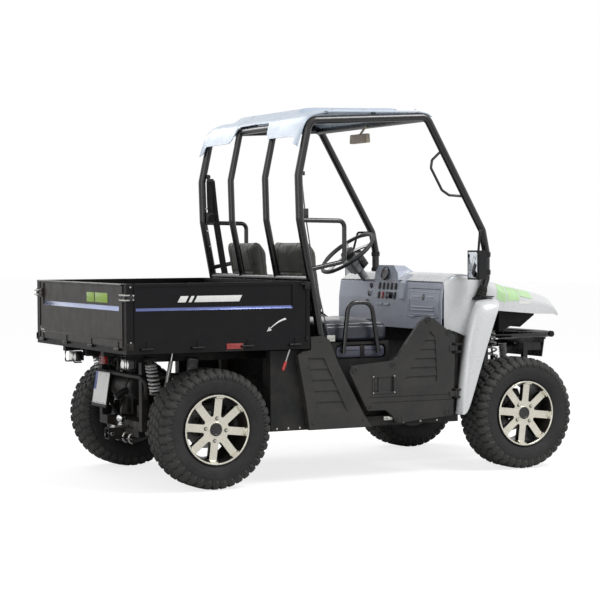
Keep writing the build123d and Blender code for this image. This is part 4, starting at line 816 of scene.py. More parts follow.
def coil(foot, axis, length, turns, start, stop):
    """A spring between two shares of a line: angle 2 pi turns t at height t - EASE sin 2 pi t of its span."""
    side = np.cross(axis, TO_LEFT)
    side /= np.linalg.norm(side)
    over = np.cross(axis, side)
    t = np.linspace(0, 1, int(turns * STEPS_PER_TURN))
    height = (start + (stop - start) * (t - EASE * np.sin(2 * np.pi * t))) * length
    angle = (2 * np.pi * turns * t)[:, None]
    path = foot + height[:, None] * axis + COIL_R * np.cos(angle) * side + COIL_R * np.sin(angle) * over
    return bar(path, WIRE_R, 8, False, tuple(axis))


def shock(ends, turns, span):
    """The spring between two shares of the shock absorber's length, the damper and two spring seats."""
    foot, axis, length = line_of(*ends)
    body = turned([(15, 2), (16, 6), (16, 0.5 * length), (13, 0.5 * length + 4), (6, 0.5 * length + 5),
                   (6, 0.9 * length), (14, 0.9 * length), (16, 0.92 * length), (15, length - 3)], foot, axis,
                  24)
    seats = [turned([(14, d - 4), (30, d - 4), (33, d - 2), (33, d + 2), (30, d + 4), (14, d + 4)], foot,
                    axis, 32, closed=True)
             for d in ((span[0] - SEAT_SHARE) * length, (span[1] + SEAT_SHARE) * length)]
    return [(spring_grey, coil(foot, axis, length, turns, *span)), (switch_black, body), (cast, join(*seats))]


REAR_SHOCK = ((-185, 400, 300), (-255, 396, 680))
FRONT_SHOCK = ((WHEELBASE, 436, 452), (WHEELBASE, 350, 830))
for name, ends, span in (("rear", REAR_SHOCK, (0.56, 0.95)), ("front", FRONT_SHOCK, (0.2, 0.86))):
    twin_piece(name + "_springs", "chassis", shock(ends, 8, span), "spring_grey", [name + "_shocks"])

# %% [markdown]
# Behind each wheel sit a brake disc, which turns with the wheel, and a caliper, which does not. Ribbed rubber
# boots close the joints of the half shafts. They show between the spokes and from behind.

# %% Brakes and boots
DISC_OUT = -50            # the disc's middle, measured out from the wheel's
disc = on_axle([(50, DISC_OUT - 18), (58, DISC_OUT - 18), (62, DISC_OUT - 4), (112, DISC_OUT - 3),
                (112, DISC_OUT + 3), (60, DISC_OUT + 3), (52, DISC_OUT - 10), (50, DISC_OUT - 12)], 64, True)
CALIPER = rounded([(-52, 84), (-40, 128), (0, 138), (40, 128), (52, 84), (24, 92), (-24, 92)], 10, 4, True)
caliper = [plate(CALIPER, DISC_OUT + low, DISC_OUT + high, 4, "z") for low, high in ((-28, -8), (8, 24))]
caliper += [plate(rounded([(-40, 120), (-36, 134), (36, 134), (40, 120)], 5, 3, True), -78, -26, 4, "z"),
            plate(rounded([(-16, 84), (-16, 120), (16, 120), (16, 84), (10, 40), (-10, 40)], 5, 3, True), -96,
                  -78, 3, "z")]
for name, x, y, side in WHEELS:
    piece("brake_disc_" + name, "wheel_" + name, [(steel, onto_wheel(disc, x, y, side))], smooth_angle=30)
    carrier = name.replace("front", "knuckle") if x else "chassis"
    piece("brake_caliper_" + name, carrier, [(cast, onto_wheel(form, x, y, side)) for form in caliper])

BOOT_LENGTH, FOLDS = 62, 28
along = np.linspace(0, 1, FOLDS + 1)
bellows = np.stack([24 + 12 * along + 4 * np.cos(np.arange(FOLDS + 1) * np.pi), BOOT_LENGTH * along], 1)
boot_profile = np.concatenate([[(16, 0)], bellows, [(16, BOOT_LENGTH)]])
# the wheel's end of a shaft points outwards, the other end inwards
boots = [turned(boot_profile, (x, foot, TYRE_R), (0, way, 0), 32)
         for x, foot, way in ((0, 398, 1), (0, 118 + BOOT_LENGTH, -1), (WHEELBASE, 418, 1),
                              (WHEELBASE, 118 + BOOT_LENGTH, -1))]
piece("shaft_boots", "chassis", [(rubber, both_sides(join(*boots)))], smooth_angle=60)

# %% [markdown]
# The silencer lies across the tail between the frame's legs, with its pipe out to the back. Its shell is a
# lathe shape with rolled ends; the pipes are bars along rounded runs of points.

# %% Silencer
SHELL_X, SHELL_Z = -215, 520
shell_half = [(64, 140), (66, 148), (64, 152), (58, 160), (10, 165)]
other_half = [(radius, -out) for radius, out in shell_half[::-1]]
shell = turned(other_half + shell_half, (SHELL_X, 0, SHELL_Z), TO_LEFT, 40)
outlet = bar(rounded([(SHELL_X, -110, SHELL_Z), (-300, -110, 500), (-345, -110, 470)], 30), 19, 20)
inlet = bar(rounded([(SHELL_X, 100, SHELL_Z), (-120, 100, 545), (60, 120, 560), (420, 150, 540),
                     (700, 180, 520)], 60), 17, 16)
bands = [turned([(64, d - 9), (67, d - 9), (67, d + 9), (64, d + 9)], (SHELL_X, 0, SHELL_Z), TO_LEFT, 40,
                closed=True) for d in (-95, 95)]
hangers = [block(-251, -239, y - 9, y + 9, 540, 671, 1.5) for y in (-95, 95)]
piece("silencer", "chassis", [(frame_black, shell), (frame_black, outlet), (cast, inlet),
                              (rubber, join(*bands)), (frame_black, join(*hangers))])

# %% [markdown]
# Ribbed ducts carry cooling air to the belt drive, one down at each side under the bed and one at each side
# of the nose. A duct is a lathe shape whose radius swings between two values.

# %% Ribbed ducts
def ribbed(start, end, radius, ribs, depth=4.5):
    """Radius r + depth cos(2 pi n t) along a straight line, six rings to a rib."""
    start, axis, length = line_of(start, end)
    t = np.linspace(0, 1, ribs * 6 + 1)
    profile = np.stack([radius + depth * np.cos(2 * np.pi * ribs * t), t * length], 1)
    profile = np.concatenate([[(0.6 * radius, 0)], profile, [(0.6 * radius, length)]])
    return turned(profile, start, axis, 28)


ducts = join(ribbed((18, -330, 600), (22, -345, 690), 29, 7),
             ribbed((2110, -268, 628), (2104, -268, 704), 22, 6))
duct_ends = join(bar(rounded([(18, -330, 602), (16, -322, 540), (40, -250, 470)], 40), 25, 20),
                 bar(rounded([(2110, -268, 630), (2110, -262, 590), (2060, -236, 520)], 40), 19, 20))
twin_piece("air_ducts", "chassis", [(duct_grey, ducts), (frame_black, duct_ends)], None, (), 60)

# %% [markdown]
# ## The bed's fittings
# Small bright parts tell the eye how big the bed is: catch blocks and their screws on the corner posts, a
# lever with a red grip, red reflectors. The marks on the bed's sides and tailgate are plain bars and blocks,
# thin enough to be foil but closed all round, because an open sheet has no inside when it is printed.

# %% Catches, lever and reflectors
BED_HALF, GATE_X = 705, -514         # face of the bed's sides from the middle, face of the tailgate
BAR_GAP = 26                         # between a catch's two bars
catch = join(block(-522, -508, -703, -672, 1015, 1059, 3),
             bar([(-517, -688, 1008), (-517, -688, 1066)], 5, 12),
             block(-512, -470, -712, -705.5, 1019, 1055, 2))
catch_bar = bar(rounded([(-525, -640, 1050), (-530, -690, 1050), (-528, -714, 1050), (-500, -716, 1050)], 9),
                4.5, 10)
screws = join(copies(button((-477, -712, 1026), TO_RIGHT, 4.5, 3), [(0, 0, 0), (0, 0, 22)]),
              copies(button((-490, -BED_HALF, 1092), TO_RIGHT, 5, 3), [(0, 0, 0), (0, 0, -290)]))
knuckle = join(block(-520, -474, -711, -705.2, 762, 800, 3), button((-497, -711, 781), TO_RIGHT, 11, 8),
               button((538, -705.4, 1087), TO_RIGHT, 8, 9), button((538, -705.4, 800), TO_RIGHT, 8, 9))
top_catch = join(block(522, 556, -722, -706, 1066, 1106, 4),
                 bar([(500, -716, 1096), (556, -716, 1096)], 5, 12),
                 bar([(514, -714, 1016), (514, -714, 1096)], 4.5, 12))
twin_piece("bed_catches", "bed", [
    (switch_black, catch), (zinc, join(catch_bar, (catch_bar[0] - (0, 0, BAR_GAP), catch_bar[1]))),
    (frame_black, knuckle), (zinc, screws), (frame_black, top_catch)], "steel")
lever = bar(rounded([(470, -640, 764), (452, -672, 752), (440, -700, 745), (410, -701, 668)], 12), 4.5, 12)
grip = turned([(0.5, -2), (7, 0), (9, 6), (9.5, 30), (9, 46), (6, 52), (0.5, 53)], (413, -701, 676),
              (-30, 0, -77), 20)
piece("bed_release", "bed", [(steel, lever), (signal_red, grip)])
reflector = plate(rectangle(56, 154, 754, 784, 5, 4), 705.2, 711, 1.8)
holder = plate(rectangle(50, 160, 742, 754), 690, 706.5, 1)
twin_piece("side_reflectors", "bed", [(lens_red, reflector), (frame_black, holder)], "lamp_red")


# %% Plain marks
def foil(outline, low, high, along="y"):
    """A mark of foil: a thin plate with hardly rounded edges."""
    return plate(outline, low, high, 0.15, along)


SET_BACK = 699.6          # face of the bed's sides above the ledge, from the middle
SLANT, MARK_LOW, MARK_HIGH = 18, 1008, 1041
stripe = [foil([(low, MARK_LOW), (high, MARK_LOW), (high + SLANT, MARK_HIGH), (low + SLANT, MARK_HIGH)],
               -SET_BACK - 0.3, -SET_BACK + 0.5) for low, high in ((-222, -176), (-160, -142), (-126, 136))]
sweep = np.linspace(0, 1, 12)
centre = np.stack([306 + 106 * sweep, 850 + 60 * np.sin(sweep * 1.35)], 1)
half_width = np.array([1.5 + 4.2 * sweep, 1.5 + 3.6 * sweep]).T * (-0.5, 0.9)
arrow_line = np.concatenate([centre + half_width, (centre - half_width)[::-1]])
arrow = [foil(outline, -706.1, -705.3) for outline in (arrow_line, [(297, 842), (326, 848), (311, 866)])]
piece("side_marks_right", "bed_side_right", [(mark_white, form) for form in [join(*stripe)] + arrow])
piece("side_marks_left", "bed_side_left", [(mark_white, mirrored(join(*stripe)))])
gate_green = [foil(rectangle(low, high, 1004, 1056), -508.8, -508.0, "x")
              for low, high in ((-221, -108), (-422, -236))]
gate_white = foil(rounded([(566, 806), (640, 812), (652, 850), (630, 824), (590, 828)], 8, 3, True), -514.8,
                  -514.1, "x")
piece("gate_marks", "tailgate", [(leaf_green, join(*gate_green)), (mark_white, gate_white)])
gate_rail = bar([(-520, -655, 1103), (-520, 655, 1103)], 5.5, 12)
gate_ribs = join(block(-519, -514.1, -660, -648, 780, 1100, 2), block(-519, -514.1, 648, 660, 780, 1100, 2),
                 block(-518.5, -514.1, -655, 655, 812, 820, 2))
piece("gate_trim", "tailgate", [(gate_black_and_sheen, gate_rail), (gate_black_and_sheen, gate_ribs)])
mat_ribs = copies(block(-470, 515, -5, 5, 775.2, 778.4, 1.4), [(0, y, 0) for y in range(-640, 641, 80)])
piece("bed_floor_ribs", "bed", [(bed_black, mat_ribs)])

# %% [markdown]
# The ledge pressed into each side and into the tailgate faces the sky, so it shows as a bright line. That
# line
# is painted: a strip of glossier, paler, bluish paint lies on it as a painted reflection of the sky. Its
# section is a thin closed band that climbs the slope and then stands a little way up the set-back face.

# %% Painted highlights on the ledges
LEDGE_LOW, LEDGE_HIGH = 966, 979.3


def ledge_strip(face, top, low, high, along):
    """The band's section in the directions (out, z), carried along the ledge: 0.1 mm off the steel."""
    band = [(0.1, LEDGE_LOW), (0.7, LEDGE_LOW + 0.3), (-5.3, LEDGE_HIGH), (-5.3, top), (-5.8, top),
            (-5.8, LEDGE_HIGH - 0.2)]
    return plate([(face - out, z) for out, z in band], low, high, 0.1, along)


# pale strips that paint the sky's reflection onto the ledges
side_strip = ledge_strip(-BED_HALF, 980.5, -460, 453, "x")
piece("ledge_highlight_right", "bed_side_right", [(ledge_sky_highlight, side_strip)])
piece("ledge_highlight_left", "bed_side_left", [(ledge_sky_highlight, mirrored(side_strip))])
piece("ledge_highlight_gate", "tailgate", [(glint, ledge_strip(GATE_X, 990, -601, 601, "y"))])

# %% [markdown]
# ## Doors and side panels
# The moulded doors are held by bolts in shallow round washers, and a square paddle sits in a bright-screwed
# frame. A small striker shows in the notch of the door's lower edge.

# %% Door fittings
DOOR_BOLTS = [(843, 0, 612), (1089, 0, 634), (1319, 0, 880), (1456, 0, 806), (936, 0, 400), (1442, 0, 352),
              (1130, 0, 328)]
DOOR_SCREWS = [(962, 0, 480), (1098, 0, 480), (962, 0, 571), (1098, 0, 571)]
DOOR_Y = 694              # outer face of a door
washer = turned([(11, -0.5), (18.5, -0.5), (18.5, 2.6), (16.5, 4), (13, 4), (11, 2.6)], (0, DOOR_Y, 0),
                TO_LEFT, 28, closed=True)
door_parts = [
    (door_grey, copies(washer, DOOR_BOLTS)),
    (switch_black, copies(button((0, DOOR_Y, 0), TO_LEFT, 8.5, 4.5, 1.5, 6), DOOR_BOLTS)),
    (switch_black, copies(button((0, DOOR_Y - 0.4, 0), TO_LEFT, 12, 1.2, 0.5), DOOR_BOLTS)),
    (switch_black, plate(rectangle(975, 1085, 487, 564), 683.5, 685.5, 0.5)),
    (gate_black_and_sheen, plate(rectangle(1000, 1066, 490, 562, 5), 685, 690, 1.5)),
    (zinc, bar([(1074, 689, 488), (1074, 689, 564)], 3, 10)),
    (zinc, copies(button((0, DOOR_Y + 3, 0), TO_LEFT, 4.5, 2.5), DOOR_SCREWS)),
    (switch_black, plate(rectangle(1010, 1170, 560, 590, 10, 4), 640, 667.8, 3))]
piece("door_fittings_left", "door_left", door_parts, "panel_grey")
piece("door_fittings_right", "door_right", [(material, mirrored(form)) for material, form in door_parts],
      "panel_grey")
striker_loop = [(1060, 676, 333), (1060, 684, 333), (1086, 684, 333), (1086, 676, 333)]
striker = join(block(1040, 1100, 656, 676, 322, 344, 3), bar(striker_loop, 4, 10))
PANEL_BOLTS = [(632, 0, 776), (560, 0, 640), (588, 0, 330), (900, 0, 330)]
SILL_BOLTS = [(x, 0, 306) for x in (380, 450, 520, 1180, 1290, 1400)]
twin_piece("side_bolts", "chassis", [
    (zinc, striker), (switch_black, copies(button((0, 690, 0), TO_LEFT, 6.5, 3.5, 1.5, 12), PANEL_BOLTS)),
    (zinc, copies(button((0, 655, 0), TO_LEFT, 6, 3.5, 1.5, 12), SILL_BOLTS))])

# %% [markdown]
# ## Dash, wheel and mirrors
# Switches, knobs and a lid handle give the dash its scale. Each sits on the dash's rear face, which leans a
# little forward towards its top. A flat shape is drawn with x across, y up and z out, and one function puts
# such shapes onto any slanted face. The instrument pod gets a dark bezel with a grey dial and a few scale
# lines, without figures.

# %% Shapes on the dash
FOOT_X, FOOT_Z, LID_X, LID_Z = 1457, 985, 1470, 1080      # two points of the dash's rear face
LEAN = np.array([LID_X - FOOT_X, 0, LID_Z - FOOT_Z], float)
UP = LEAN / np.linalg.norm(LEAN)
OUT = np.array([-UP[2], 0, UP[0]])
FOOT = np.array([FOOT_X, 0, FOOT_Z], float)


def placed(form, spot, right, up, out):
    """A form drawn in x, y and z put at a spot, with those three directions turned to right, up and out."""
    points, faces = form
    return outward((spot + points[:, :1] * right + points[:, 1:2] * up + points[:, 2:] * out, faces))


def on_dash(form, y, z):
    """A form set on the dash at a height z, y to the left of the middle."""
    return placed(form, FOOT + UP * (z - FOOT_Z) / UP[2] + (0, y, 0), TO_RIGHT, UP, OUT)


def tablet(width, height, low, high, corner=4, soft=1.2):
    """A rounded rectangle round the origin, from `low` to `high` in z."""
    return plate(rectangle(-width / 2, width / 2, -height / 2, height / 2, corner), low, high, soft, "z")


def knob(profile, sides=28, closed=False):
    """A lathe shape that stands on its face."""
    return turned(profile, (0, 0, 0), UPWARDS, sides, closed)


UPPER_Z, LOWER_Z, ROCKERS, DIAL_Y = 1057, 1002, (108, 60, 12, -36, -84), -36
rocker = join(tablet(21, 42, -1, 3.5, 3), plate(rectangle(-8, 8, -17, 17), 3, 9, 2.4, "z"))
rocker_frame = tablet(25, 46, -1, 2, 4, 0.8)
upper = [on_dash(rocker, y, UPPER_Z) for y in ROCKERS]
frames = [on_dash(rocker_frame, y, z) for z in (UPPER_Z, LOWER_Z) for y in ROCKERS
          if (y, z) != (DIAL_Y, LOWER_Z)]
lower = [on_dash(rocker, y, LOWER_Z) for y in (108, 12, -84)]
dial = knob([(0.5, 0), (21, 0), (21, 5), (17, 8), (16, 20), (13, 23), (0.5, 23)], 32)
socket = knob([(8, 0), (15, 0), (15, 4), (12, 7), (8, 7)], closed=True)
key_barrel = knob([(0.5, 0), (13, 0), (13, 7), (11, 9), (0.5, 9)])
key_line = rounded([(-3, -9), (3, -9), (11, 12), (8, 22), (-8, 22), (-11, 12)], 3, 3, True)
key = plate(key_line, 10, 13, 0.8, "z")
handle_knob = knob([(0.5, 0), (11, 0), (11, 5), (9, 9), (0.5, 9)])
blank = tablet(64, 15, -0.5, 1.2, 2, 0.3)
piece("dash_controls", "chassis", [
    (switch_black, join(*upper)), (switch_black, join(*lower)), (signal_red, on_dash(rocker, 60, LOWER_Z)),
    (grey_plastic, join(*frames)), (switch_black, on_dash(dial, DIAL_Y, LOWER_Z)),
    (switch_black, on_dash(socket, 214, 1056)), (zinc, on_dash(key_barrel, 224, 1004)),
    (switch_black, on_dash(key, 224, 1004)), (switch_black, on_dash(handle_knob, 250, 960)),
    (dash_silver, on_dash(blank, 92, 948)), (dash_silver, on_dash(blank, 12, 948))])

# %% Instrument pod and cage feet
POD = np.array([WHEELBASE - 482, 45, 1133])
POD_AXIS = (-1, 0, 0.28)
bezel = turned([(34, 0), (43, 0), (43, 6), (40, 9), (36, 7), (34, 3)], POD, POD_AXIS, 40, closed=True)
dial_face = turned([(0.5, 0), (36, 0), (36, 3), (0.5, 3.4)], POD, POD_AXIS, 40)


def tick(angle):
    """One scale line of the dial, from 28 to 33 mm out."""
    ends = [POD + (-4.6, r * np.cos(angle), r * np.sin(angle)) for r in (28, 33)]
    return bar(ends, 0.8, 6, False, FORWARDS)


ticks = [tick(angle) for angle in np.radians(np.linspace(-40, 220, 9))]
needle = bar([POD + (-5, 0, 0), POD + (-5, 14, 20)], 1.0, 6, False, FORWARDS)
piece("instrument", "chassis", [(switch_black, bezel), (grey_plastic, dial_face), (mark_white, join(*ticks)),
                                (signal_red, needle)])
boot = [(31, 0), (33, 8), (29, 16), (31, 24), (27, 32), (29, 40), (25, 56), (23, 64), (23, 0)]
gaiter = turned(boot, (1702, 645, 1001), (39, 0, 108), 28, closed=True)
foot_line = rounded([(1672, 604), (1786, 612), (1786, 668), (1672, 676)], 12, 4, True)
foot_plate = plate(foot_line, 1000.3, 1007, 2, "z")
clamps = [turned([(22.8, d - 14), (27, d - 14), (27, d + 14), (22.8, d + 14)], (1741, 645, 1185), UPWARDS,
                 28, closed=True) for d in (-40, 62)]
twin_piece("cowl_trim", "chassis", [(rubber, gaiter), (frame_black, foot_plate),
                                    (frame_black, join(*clamps))])

# %% [markdown]
# The glove lid carries raised ribs round a plain oval handle; where such lids are often lettered, this one
# has two long plain ribs. They ride on the lid, so they open with it.

# %% Glove lid
LID_Y, HANDLE_Z = -414, 1000
rim_outline = rounded([(-158, -66), (158, -66), (164, 60), (-160, 66)], 16, 5, True)
lid_border = bar(raised_line(rim_outline, 0.5), 2.6, 8, True)
rib_low = tablet(250, 9, -1, 3.2, 4)
rib_side = tablet(86, 12, -1, 3.2, 5)
oval = knob([(0.5, 0), (17, 0), (17, 3), (13, 7), (0.5, 8)], 32)
oval = (oval[0] * (0.72, 1.15, 1), oval[1])
lid_parts = [(dash_silver, on_dash(form, LID_Y + aside, z))
             for form, aside, z in ((lid_border, 0, 966), (rib_low, 0, 925), (rib_low, 0, 942),
                                    (rib_side, 78, HANDLE_Z), (rib_side, -78, HANDLE_Z))]
lid_parts.append((grey_plastic, on_dash(oval, LID_Y, HANDLE_Z)))
piece("glove_lid_trim", "glove_lid", lid_parts, "dash_silver")

# %% Steering wheel
WHEEL_R, GRIP_R = 187, 12.2
HUB = np.array([WHEELBASE - 588, 330, 1256], float)
DOWN_COLUMN = np.array([139, 0, -177]) / np.linalg.norm([139, 0, -177])
ACROSS_WHEEL = np.array([0, 1, 0.0])
LOW = np.cross(-DOWN_COLUMN, ACROSS_WHEEL)


def on_wheel(form):
    """Wheel directions: x to the left, y down the wheel's plane, z towards the driver."""
    return placed(form, HUB, ACROSS_WHEEL, LOW, -DOWN_COLUMN)


def on_column(down, y=0, z=0):
    """A point `down` mm along the steering column from the hub, moved aside by y and up by z."""
    return HUB + DOWN_COLUMN * down + (0, y, z)


round_angle = np.linspace(0, 2 * np.pi, 96, endpoint=False)
rim_line = np.stack([WHEEL_R * np.cos(round_angle), WHEEL_R * np.sin(round_angle), 0 * round_angle], 1)
grip_form = bar(rim_line, GRIP_R + 1.1 * np.clip(np.cos(4 * round_angle) * 3, -1, 1), 16, True)
arm_line = rounded([(26, -19), (120, -13), (180, -17), (180, 17), (120, 13), (26, 19)], 10, 4, True)
arm_points, arm_faces = plate(arm_line, -7, 2, 2, "z")
arms = [(turned_about(arm_points, angle), arm_faces) for angle in np.radians([90, 210, 330])]
hub_pad = knob([(0.5, -28), (36, -28), (40, -8), (46, 2), (42, 14), (30, 20), (0.5, 22)], 40)
piece("steering_wheel_dressed", "steering_wheel",
      [(wheel_grip, on_wheel(grip_form)), (steel, on_wheel(join(*arms))), (wheel_grip, on_wheel(hub_pad))],
      "wheel_grip", ["steering_wheel"], 45)
collar = bar([on_column(126), on_column(134)], 44, 32, False, TO_LEFT)
stalks = [bar([on_column(80, sign * 48), on_column(66, sign * 150, 10)], (4, 7), 12) for sign in (-1, 1)]
cover_line = rounded([(-63, -2), (63, -2), (60, -56), (-60, -56)], 14, 4, True)
cover = on_wheel(plate(cover_line, -124, -40, 5, "z"))
piece("column_stalks", "chassis", [(switch_black, form) for form in (join(*stalks), collar, cover)])

# %% Mirrors
FRAME_X = 1596.0
outer_glass = plate(rectangle(683, 780, 1114, 1262, 12, 4), 1594.2, 1596.8, 0.8, "x")
bezel_path = raised_line(rectangle(680, 783, 1111, 1265, 13, 5), FRAME_X)[:, [2, 0, 1]]
twin_piece("mirror_glass", "chassis", [(mirror_glass, outer_glass),
                                       (trim_black, bar(bezel_path, 2.6, 8, True, FORWARDS))])
cab_line = rounded([(-94, 1917), (-88, 1961), (88, 1961), (94, 1917)], 8, 4, True)
cab_back = plate(cab_line, 1252.4, 1254.8, 0.8, "x")
piece("cab_mirror_face", "chassis", [(mirror_back, cab_back)])

# %% [markdown]
# ## Painted body
# Sheet parts such as a hood, a roof or a fender look right only when their reflections flow. Each is worked
# out here as a smooth grid of points and then made solid: the grid is lifted a little along its own normals,
# a second one is sunk, and a rim joins the two. Corners come from rounded polylines, so a panel's shape
# stays in a short table.

# %% A closed sheet from a grid of points
def normals_of(points):
    """Normals of a grid: the cross product of its two directions' differences, made one long."""
    normal = np.cross(np.gradient(points, axis=0), np.gradient(points, axis=1))
    return normal / np.maximum(np.linalg.norm(normal, axis=2), 1e-9)[..., None]


def edge_runs_match(form):
    """True when every edge is walked once each way, as on any closed skin with its faces outwards."""
    steps = np.concatenate([np.stack([b.ravel(), np.roll(b, -1, 1).ravel()], 1) for b in form[1]])
    return len(np.unique(steps, axis=0)) == len(steps)


def sheet_form(points, over, under):
    """A thin solid: p + over * n on one face and p - under * n on the other, n pointing mostly up."""
    rows, columns = points.shape[:2]
    normal = normals_of(points)
    if normal[..., 2].sum() < 0:
        normal = -normal
    both = np.concatenate([(points + over * normal).reshape(-1, 3), (points - under * normal).reshape(-1, 3)])
    quads, count = grid_faces(rows, columns), rows * columns
    rim = np.concatenate([np.arange(columns), np.arange(1, rows) * columns + columns - 1,
                          np.arange(columns - 2, -1, -1) + (rows - 1) * columns,
                          np.arange(rows - 2, 0, -1) * columns])
    walls = np.stack([rim, np.roll(rim, -1), np.roll(rim, -1) + count, rim + count], 1)
    for wall in (walls, walls[:, ::-1]):
        form = outward((both, [quads, (quads + count)[:, ::-1], wall]))
        if edge_runs_match(form):
            return form


def smooth_step(x):
    """0 below 0, 1 above 1 and x^2 (3 - 2x) between them."""
    x = np.clip(x, 0, 1)
    return x * x * (3 - 2 * x)


# %% [markdown]
# The hood, the tops of the dash and the body's sides under the hood are one smooth skin. A row of the table
# is a cross section: half widths at the side and at the shoulder, heights of shoulder and crown, and the
# height of the chamfer below the shoulder. Between two rows the numbers run straight. A weighted mean of
# three places 26 mm apart and a few rounds of smoothing take the bends out, and the lower edge follows a
# curve of its own.

# %% Hood and cowl
# x from the front axle, half width low, half width at the shoulder, shoulder z, crown z, chamfer's height
HOOD = np.array([
    (-480, 620, 608, 1086, 1089, 15), (-432, 622, 609, 1131, 1135, 18), (-380, 622, 608, 1139, 1145, 22),
    (-250, 621, 602, 1130, 1138, 28), (-150, 612, 584, 1098, 1124, 40), (-60, 600, 560, 1064, 1108, 45),
    (80, 583, 532, 1041, 1092, 45), (200, 560, 500, 1018, 1072, 45), (310, 520, 462, 998, 1050, 45),
    (400, 466, 410, 970, 1018, 45), (440, 426, 374, 943, 984, 42), (462, 400, 350, 925, 960, 40)], float)
LOWER_EDGE = rounded([(-480, 812), (-419, 812), (-318, 768), (-295, 800), (-262, 905), (-240, 932),
                      (-60, 915), (200, 893), (400, 884), (462, 872)], 30, 4)
BLEND = ((-26, 0.25), (0, 0.5), (26, 0.25))       # distance ahead and weight of the rows blended into one
CROWN, SHEET = 0.16, 4
SMOOTHINGS = 3


def on_hood(x, share):
    """Point of the hood's right side at x: share 0 at its lower edge, 1 and 2 at the chamfer, 3 at the
    crown. Between two of them it is a straight line; from the chamfer to the crown it also bulges."""
    low, shoulder, shoulder_z, crown_z, chamfer = [
        sum(weight * np.interp(x + ahead, HOOD[:, 0], HOOD[:, k]) for ahead, weight in BLEND)
        for k in range(1, 6)]
    y = np.stack([low, low, shoulder, 0 * low], -1)
    z = np.stack([np.interp(x, *LOWER_EDGE.T), shoulder_z - chamfer, shoulder_z, crown_z], -1)
    part = np.clip(share.astype(int), 0, 2)
    t = share - part
    ends = np.stack([part, part + 1], -1)
    pair = [np.take_along_axis(k, ends, -1) for k in (y, z)]
    y, z = [k[..., 0] * (1 - t) + k[..., 1] * t for k in pair]
    bulge = np.where(share > 2, 4 * (share - 2) * (3 - share), 0) * CROWN * (crown_z - shoulder_z)
    return np.stack([WHEELBASE + x, -y, z + bulge], -1)


near_corner = np.array([-0.3, -0.18, -0.09, 0, 0.09, 0.18, 0.3])
shares = np.unique(np.round(np.concatenate([np.linspace(0, 0.66, 9), 1 + near_corner, 2 + near_corner * 0.5,
                                            np.linspace(2.2, 3, 9)]), 4))
along_hood = np.unique(np.concatenate([np.linspace(-480, 462, 96), [-319, -317, -296, -294]]))
half_hood = on_hood(*np.meshgrid(along_hood, shares, indexing="ij"))
for _ in range(SMOOTHINGS):
    neighbours = half_hood[:, :-2, 1:] + half_hood[:, 2:, 1:]
    half_hood[:, 1:-1, 1:] = 0.5 * half_hood[:, 1:-1, 1:] + 0.25 * neighbours
whole_hood = np.concatenate([half_hood, half_hood[:, -2::-1] * (1, -1, 1)], 1)
piece("hood_skin", "chassis", [(body_silver, sheet_form(whole_hood, 0, SHEET))], "body_silver", ["hood"], 40)

# %% [markdown]
# Each front fender ends in a long blade that bulges out round the back of the wheel. Its section is a rolled
# channel: it leaves the body, turns a wide corner, crowns, and folds a narrow lip inwards at the front. The
# same ring of points stands at many heights, between a rear and a front edge. A dark liner closes the gap
# between the blade and the door's front edge.

# %% Fender blades and liners
BLADE_LOW, BLADE_HIGH, LEVELS = 336, 998, 56
# height, x of the edge
REAR_EDGE = rounded([(336, 1514), (449, 1524), (560, 1541), (704, 1563), (772, 1577), (900, 1612),
                     (975, 1655), (998, 1682)], 60, 6)
FRONT_EDGE = rounded([(336, 1541), (352, 1566), (445, 1599), (571, 1641), (715, 1691), (843, 1737),
                      (905, 1760), (960, 1790), (998, 1800)], 60, 6)
BULGE = rounded([(336, 733), (420, 735), (915, 735), (955, 722), (982, 690), (998, 640)], 30, 6)
BODY_Y, BULGE_DEPTH = 616, 119
# share of the width, mm ahead of the rear edge, mm inside the bulge; outer then inner face
CHANNEL = [(0, 34, 119), (0, 3, 60), (0, 4, 38), (0.12, 6, 22), (0.28, 4, 9), (0.5, 0, 2), (0.74, 0, 0),
           (0.92, 0, 0.8), (1, 0, 4), (1, 1, 14)]
INSIDE = [(0, 38, 119), (0, 7, 60), (0, 8, 40), (0.12, 9, 26), (0.28, 6, 13), (0.5, 0, 6), (0.74, 0, 4.2),
          (0.92, -2, 5), (1, -4, 7.5), (1, -3, 14)]
level = np.linspace(BLADE_LOW, BLADE_HIGH, LEVELS)
back_x, front_x, bulge_y = [np.interp(level, *line.T)[:, None] for line in (REAR_EDGE, FRONT_EDGE, BULGE)]
ring = np.array(CHANNEL + INSIDE[::-1])
deep = (bulge_y - BODY_Y) / BULGE_DEPTH
blade_points = np.stack([back_x + ring[:, 0] * (front_x - back_x) + ring[:, 1], bulge_y - ring[:, 2] * deep,
                         np.broadcast_to(level[:, None], (LEVELS, len(ring)))], -1).reshape(-1, 3)
count, pairs = len(ring), np.arange(len(CHANNEL) - 1)
cap_quads = np.stack([pairs, pairs + 1, count - 2 - pairs, count - 1 - pairs], 1)
top_quads = cap_quads + (LEVELS - 1) * count
for caps in ([cap_quads[:, ::-1], top_quads], [cap_quads, top_quads[:, ::-1]]):
    blade_form = outward((blade_points, [grid_faces(LEVELS, count, False, True)] + caps))
    if edge_runs_match(blade_form):
        break
twin_piece("fender_blades", "chassis", [(body_silver, blade_form)], "body_silver", ["front_fenders"], 50)
liner = plate(rounded([(1487, 340), (1487, 822), (1560, 822), (1640, 780), (1606, 660), (1574, 520),
                       (1545, 400), (1528, 345)], 12, 4, True), 604, 611, 1.5)
liner_ribs = join(block(1500, 1506, 610, 614, 360, 800, 1.5), block(1487, 1500, 610, 618, 560, 566, 1.5),
                  button((1496, 611, 800), TO_LEFT, 6, 3, 1, 6))
twin_piece("wheel_liners", "chassis", [(gate_black_and_sheen, liner), (switch_black, liner_ribs)])

# %% [markdown]
# The roof is a moulded sheet over the cage. Its profile runs from the drooping rear edge over the top to the
# front. Each column of the grid starts at its own height on that profile: low in the flaps over the two
# outer uprights, a little higher between them, and high in the middle, where a wide notch leaves the rear
# open. The raised crown is a smooth bump added to the top.

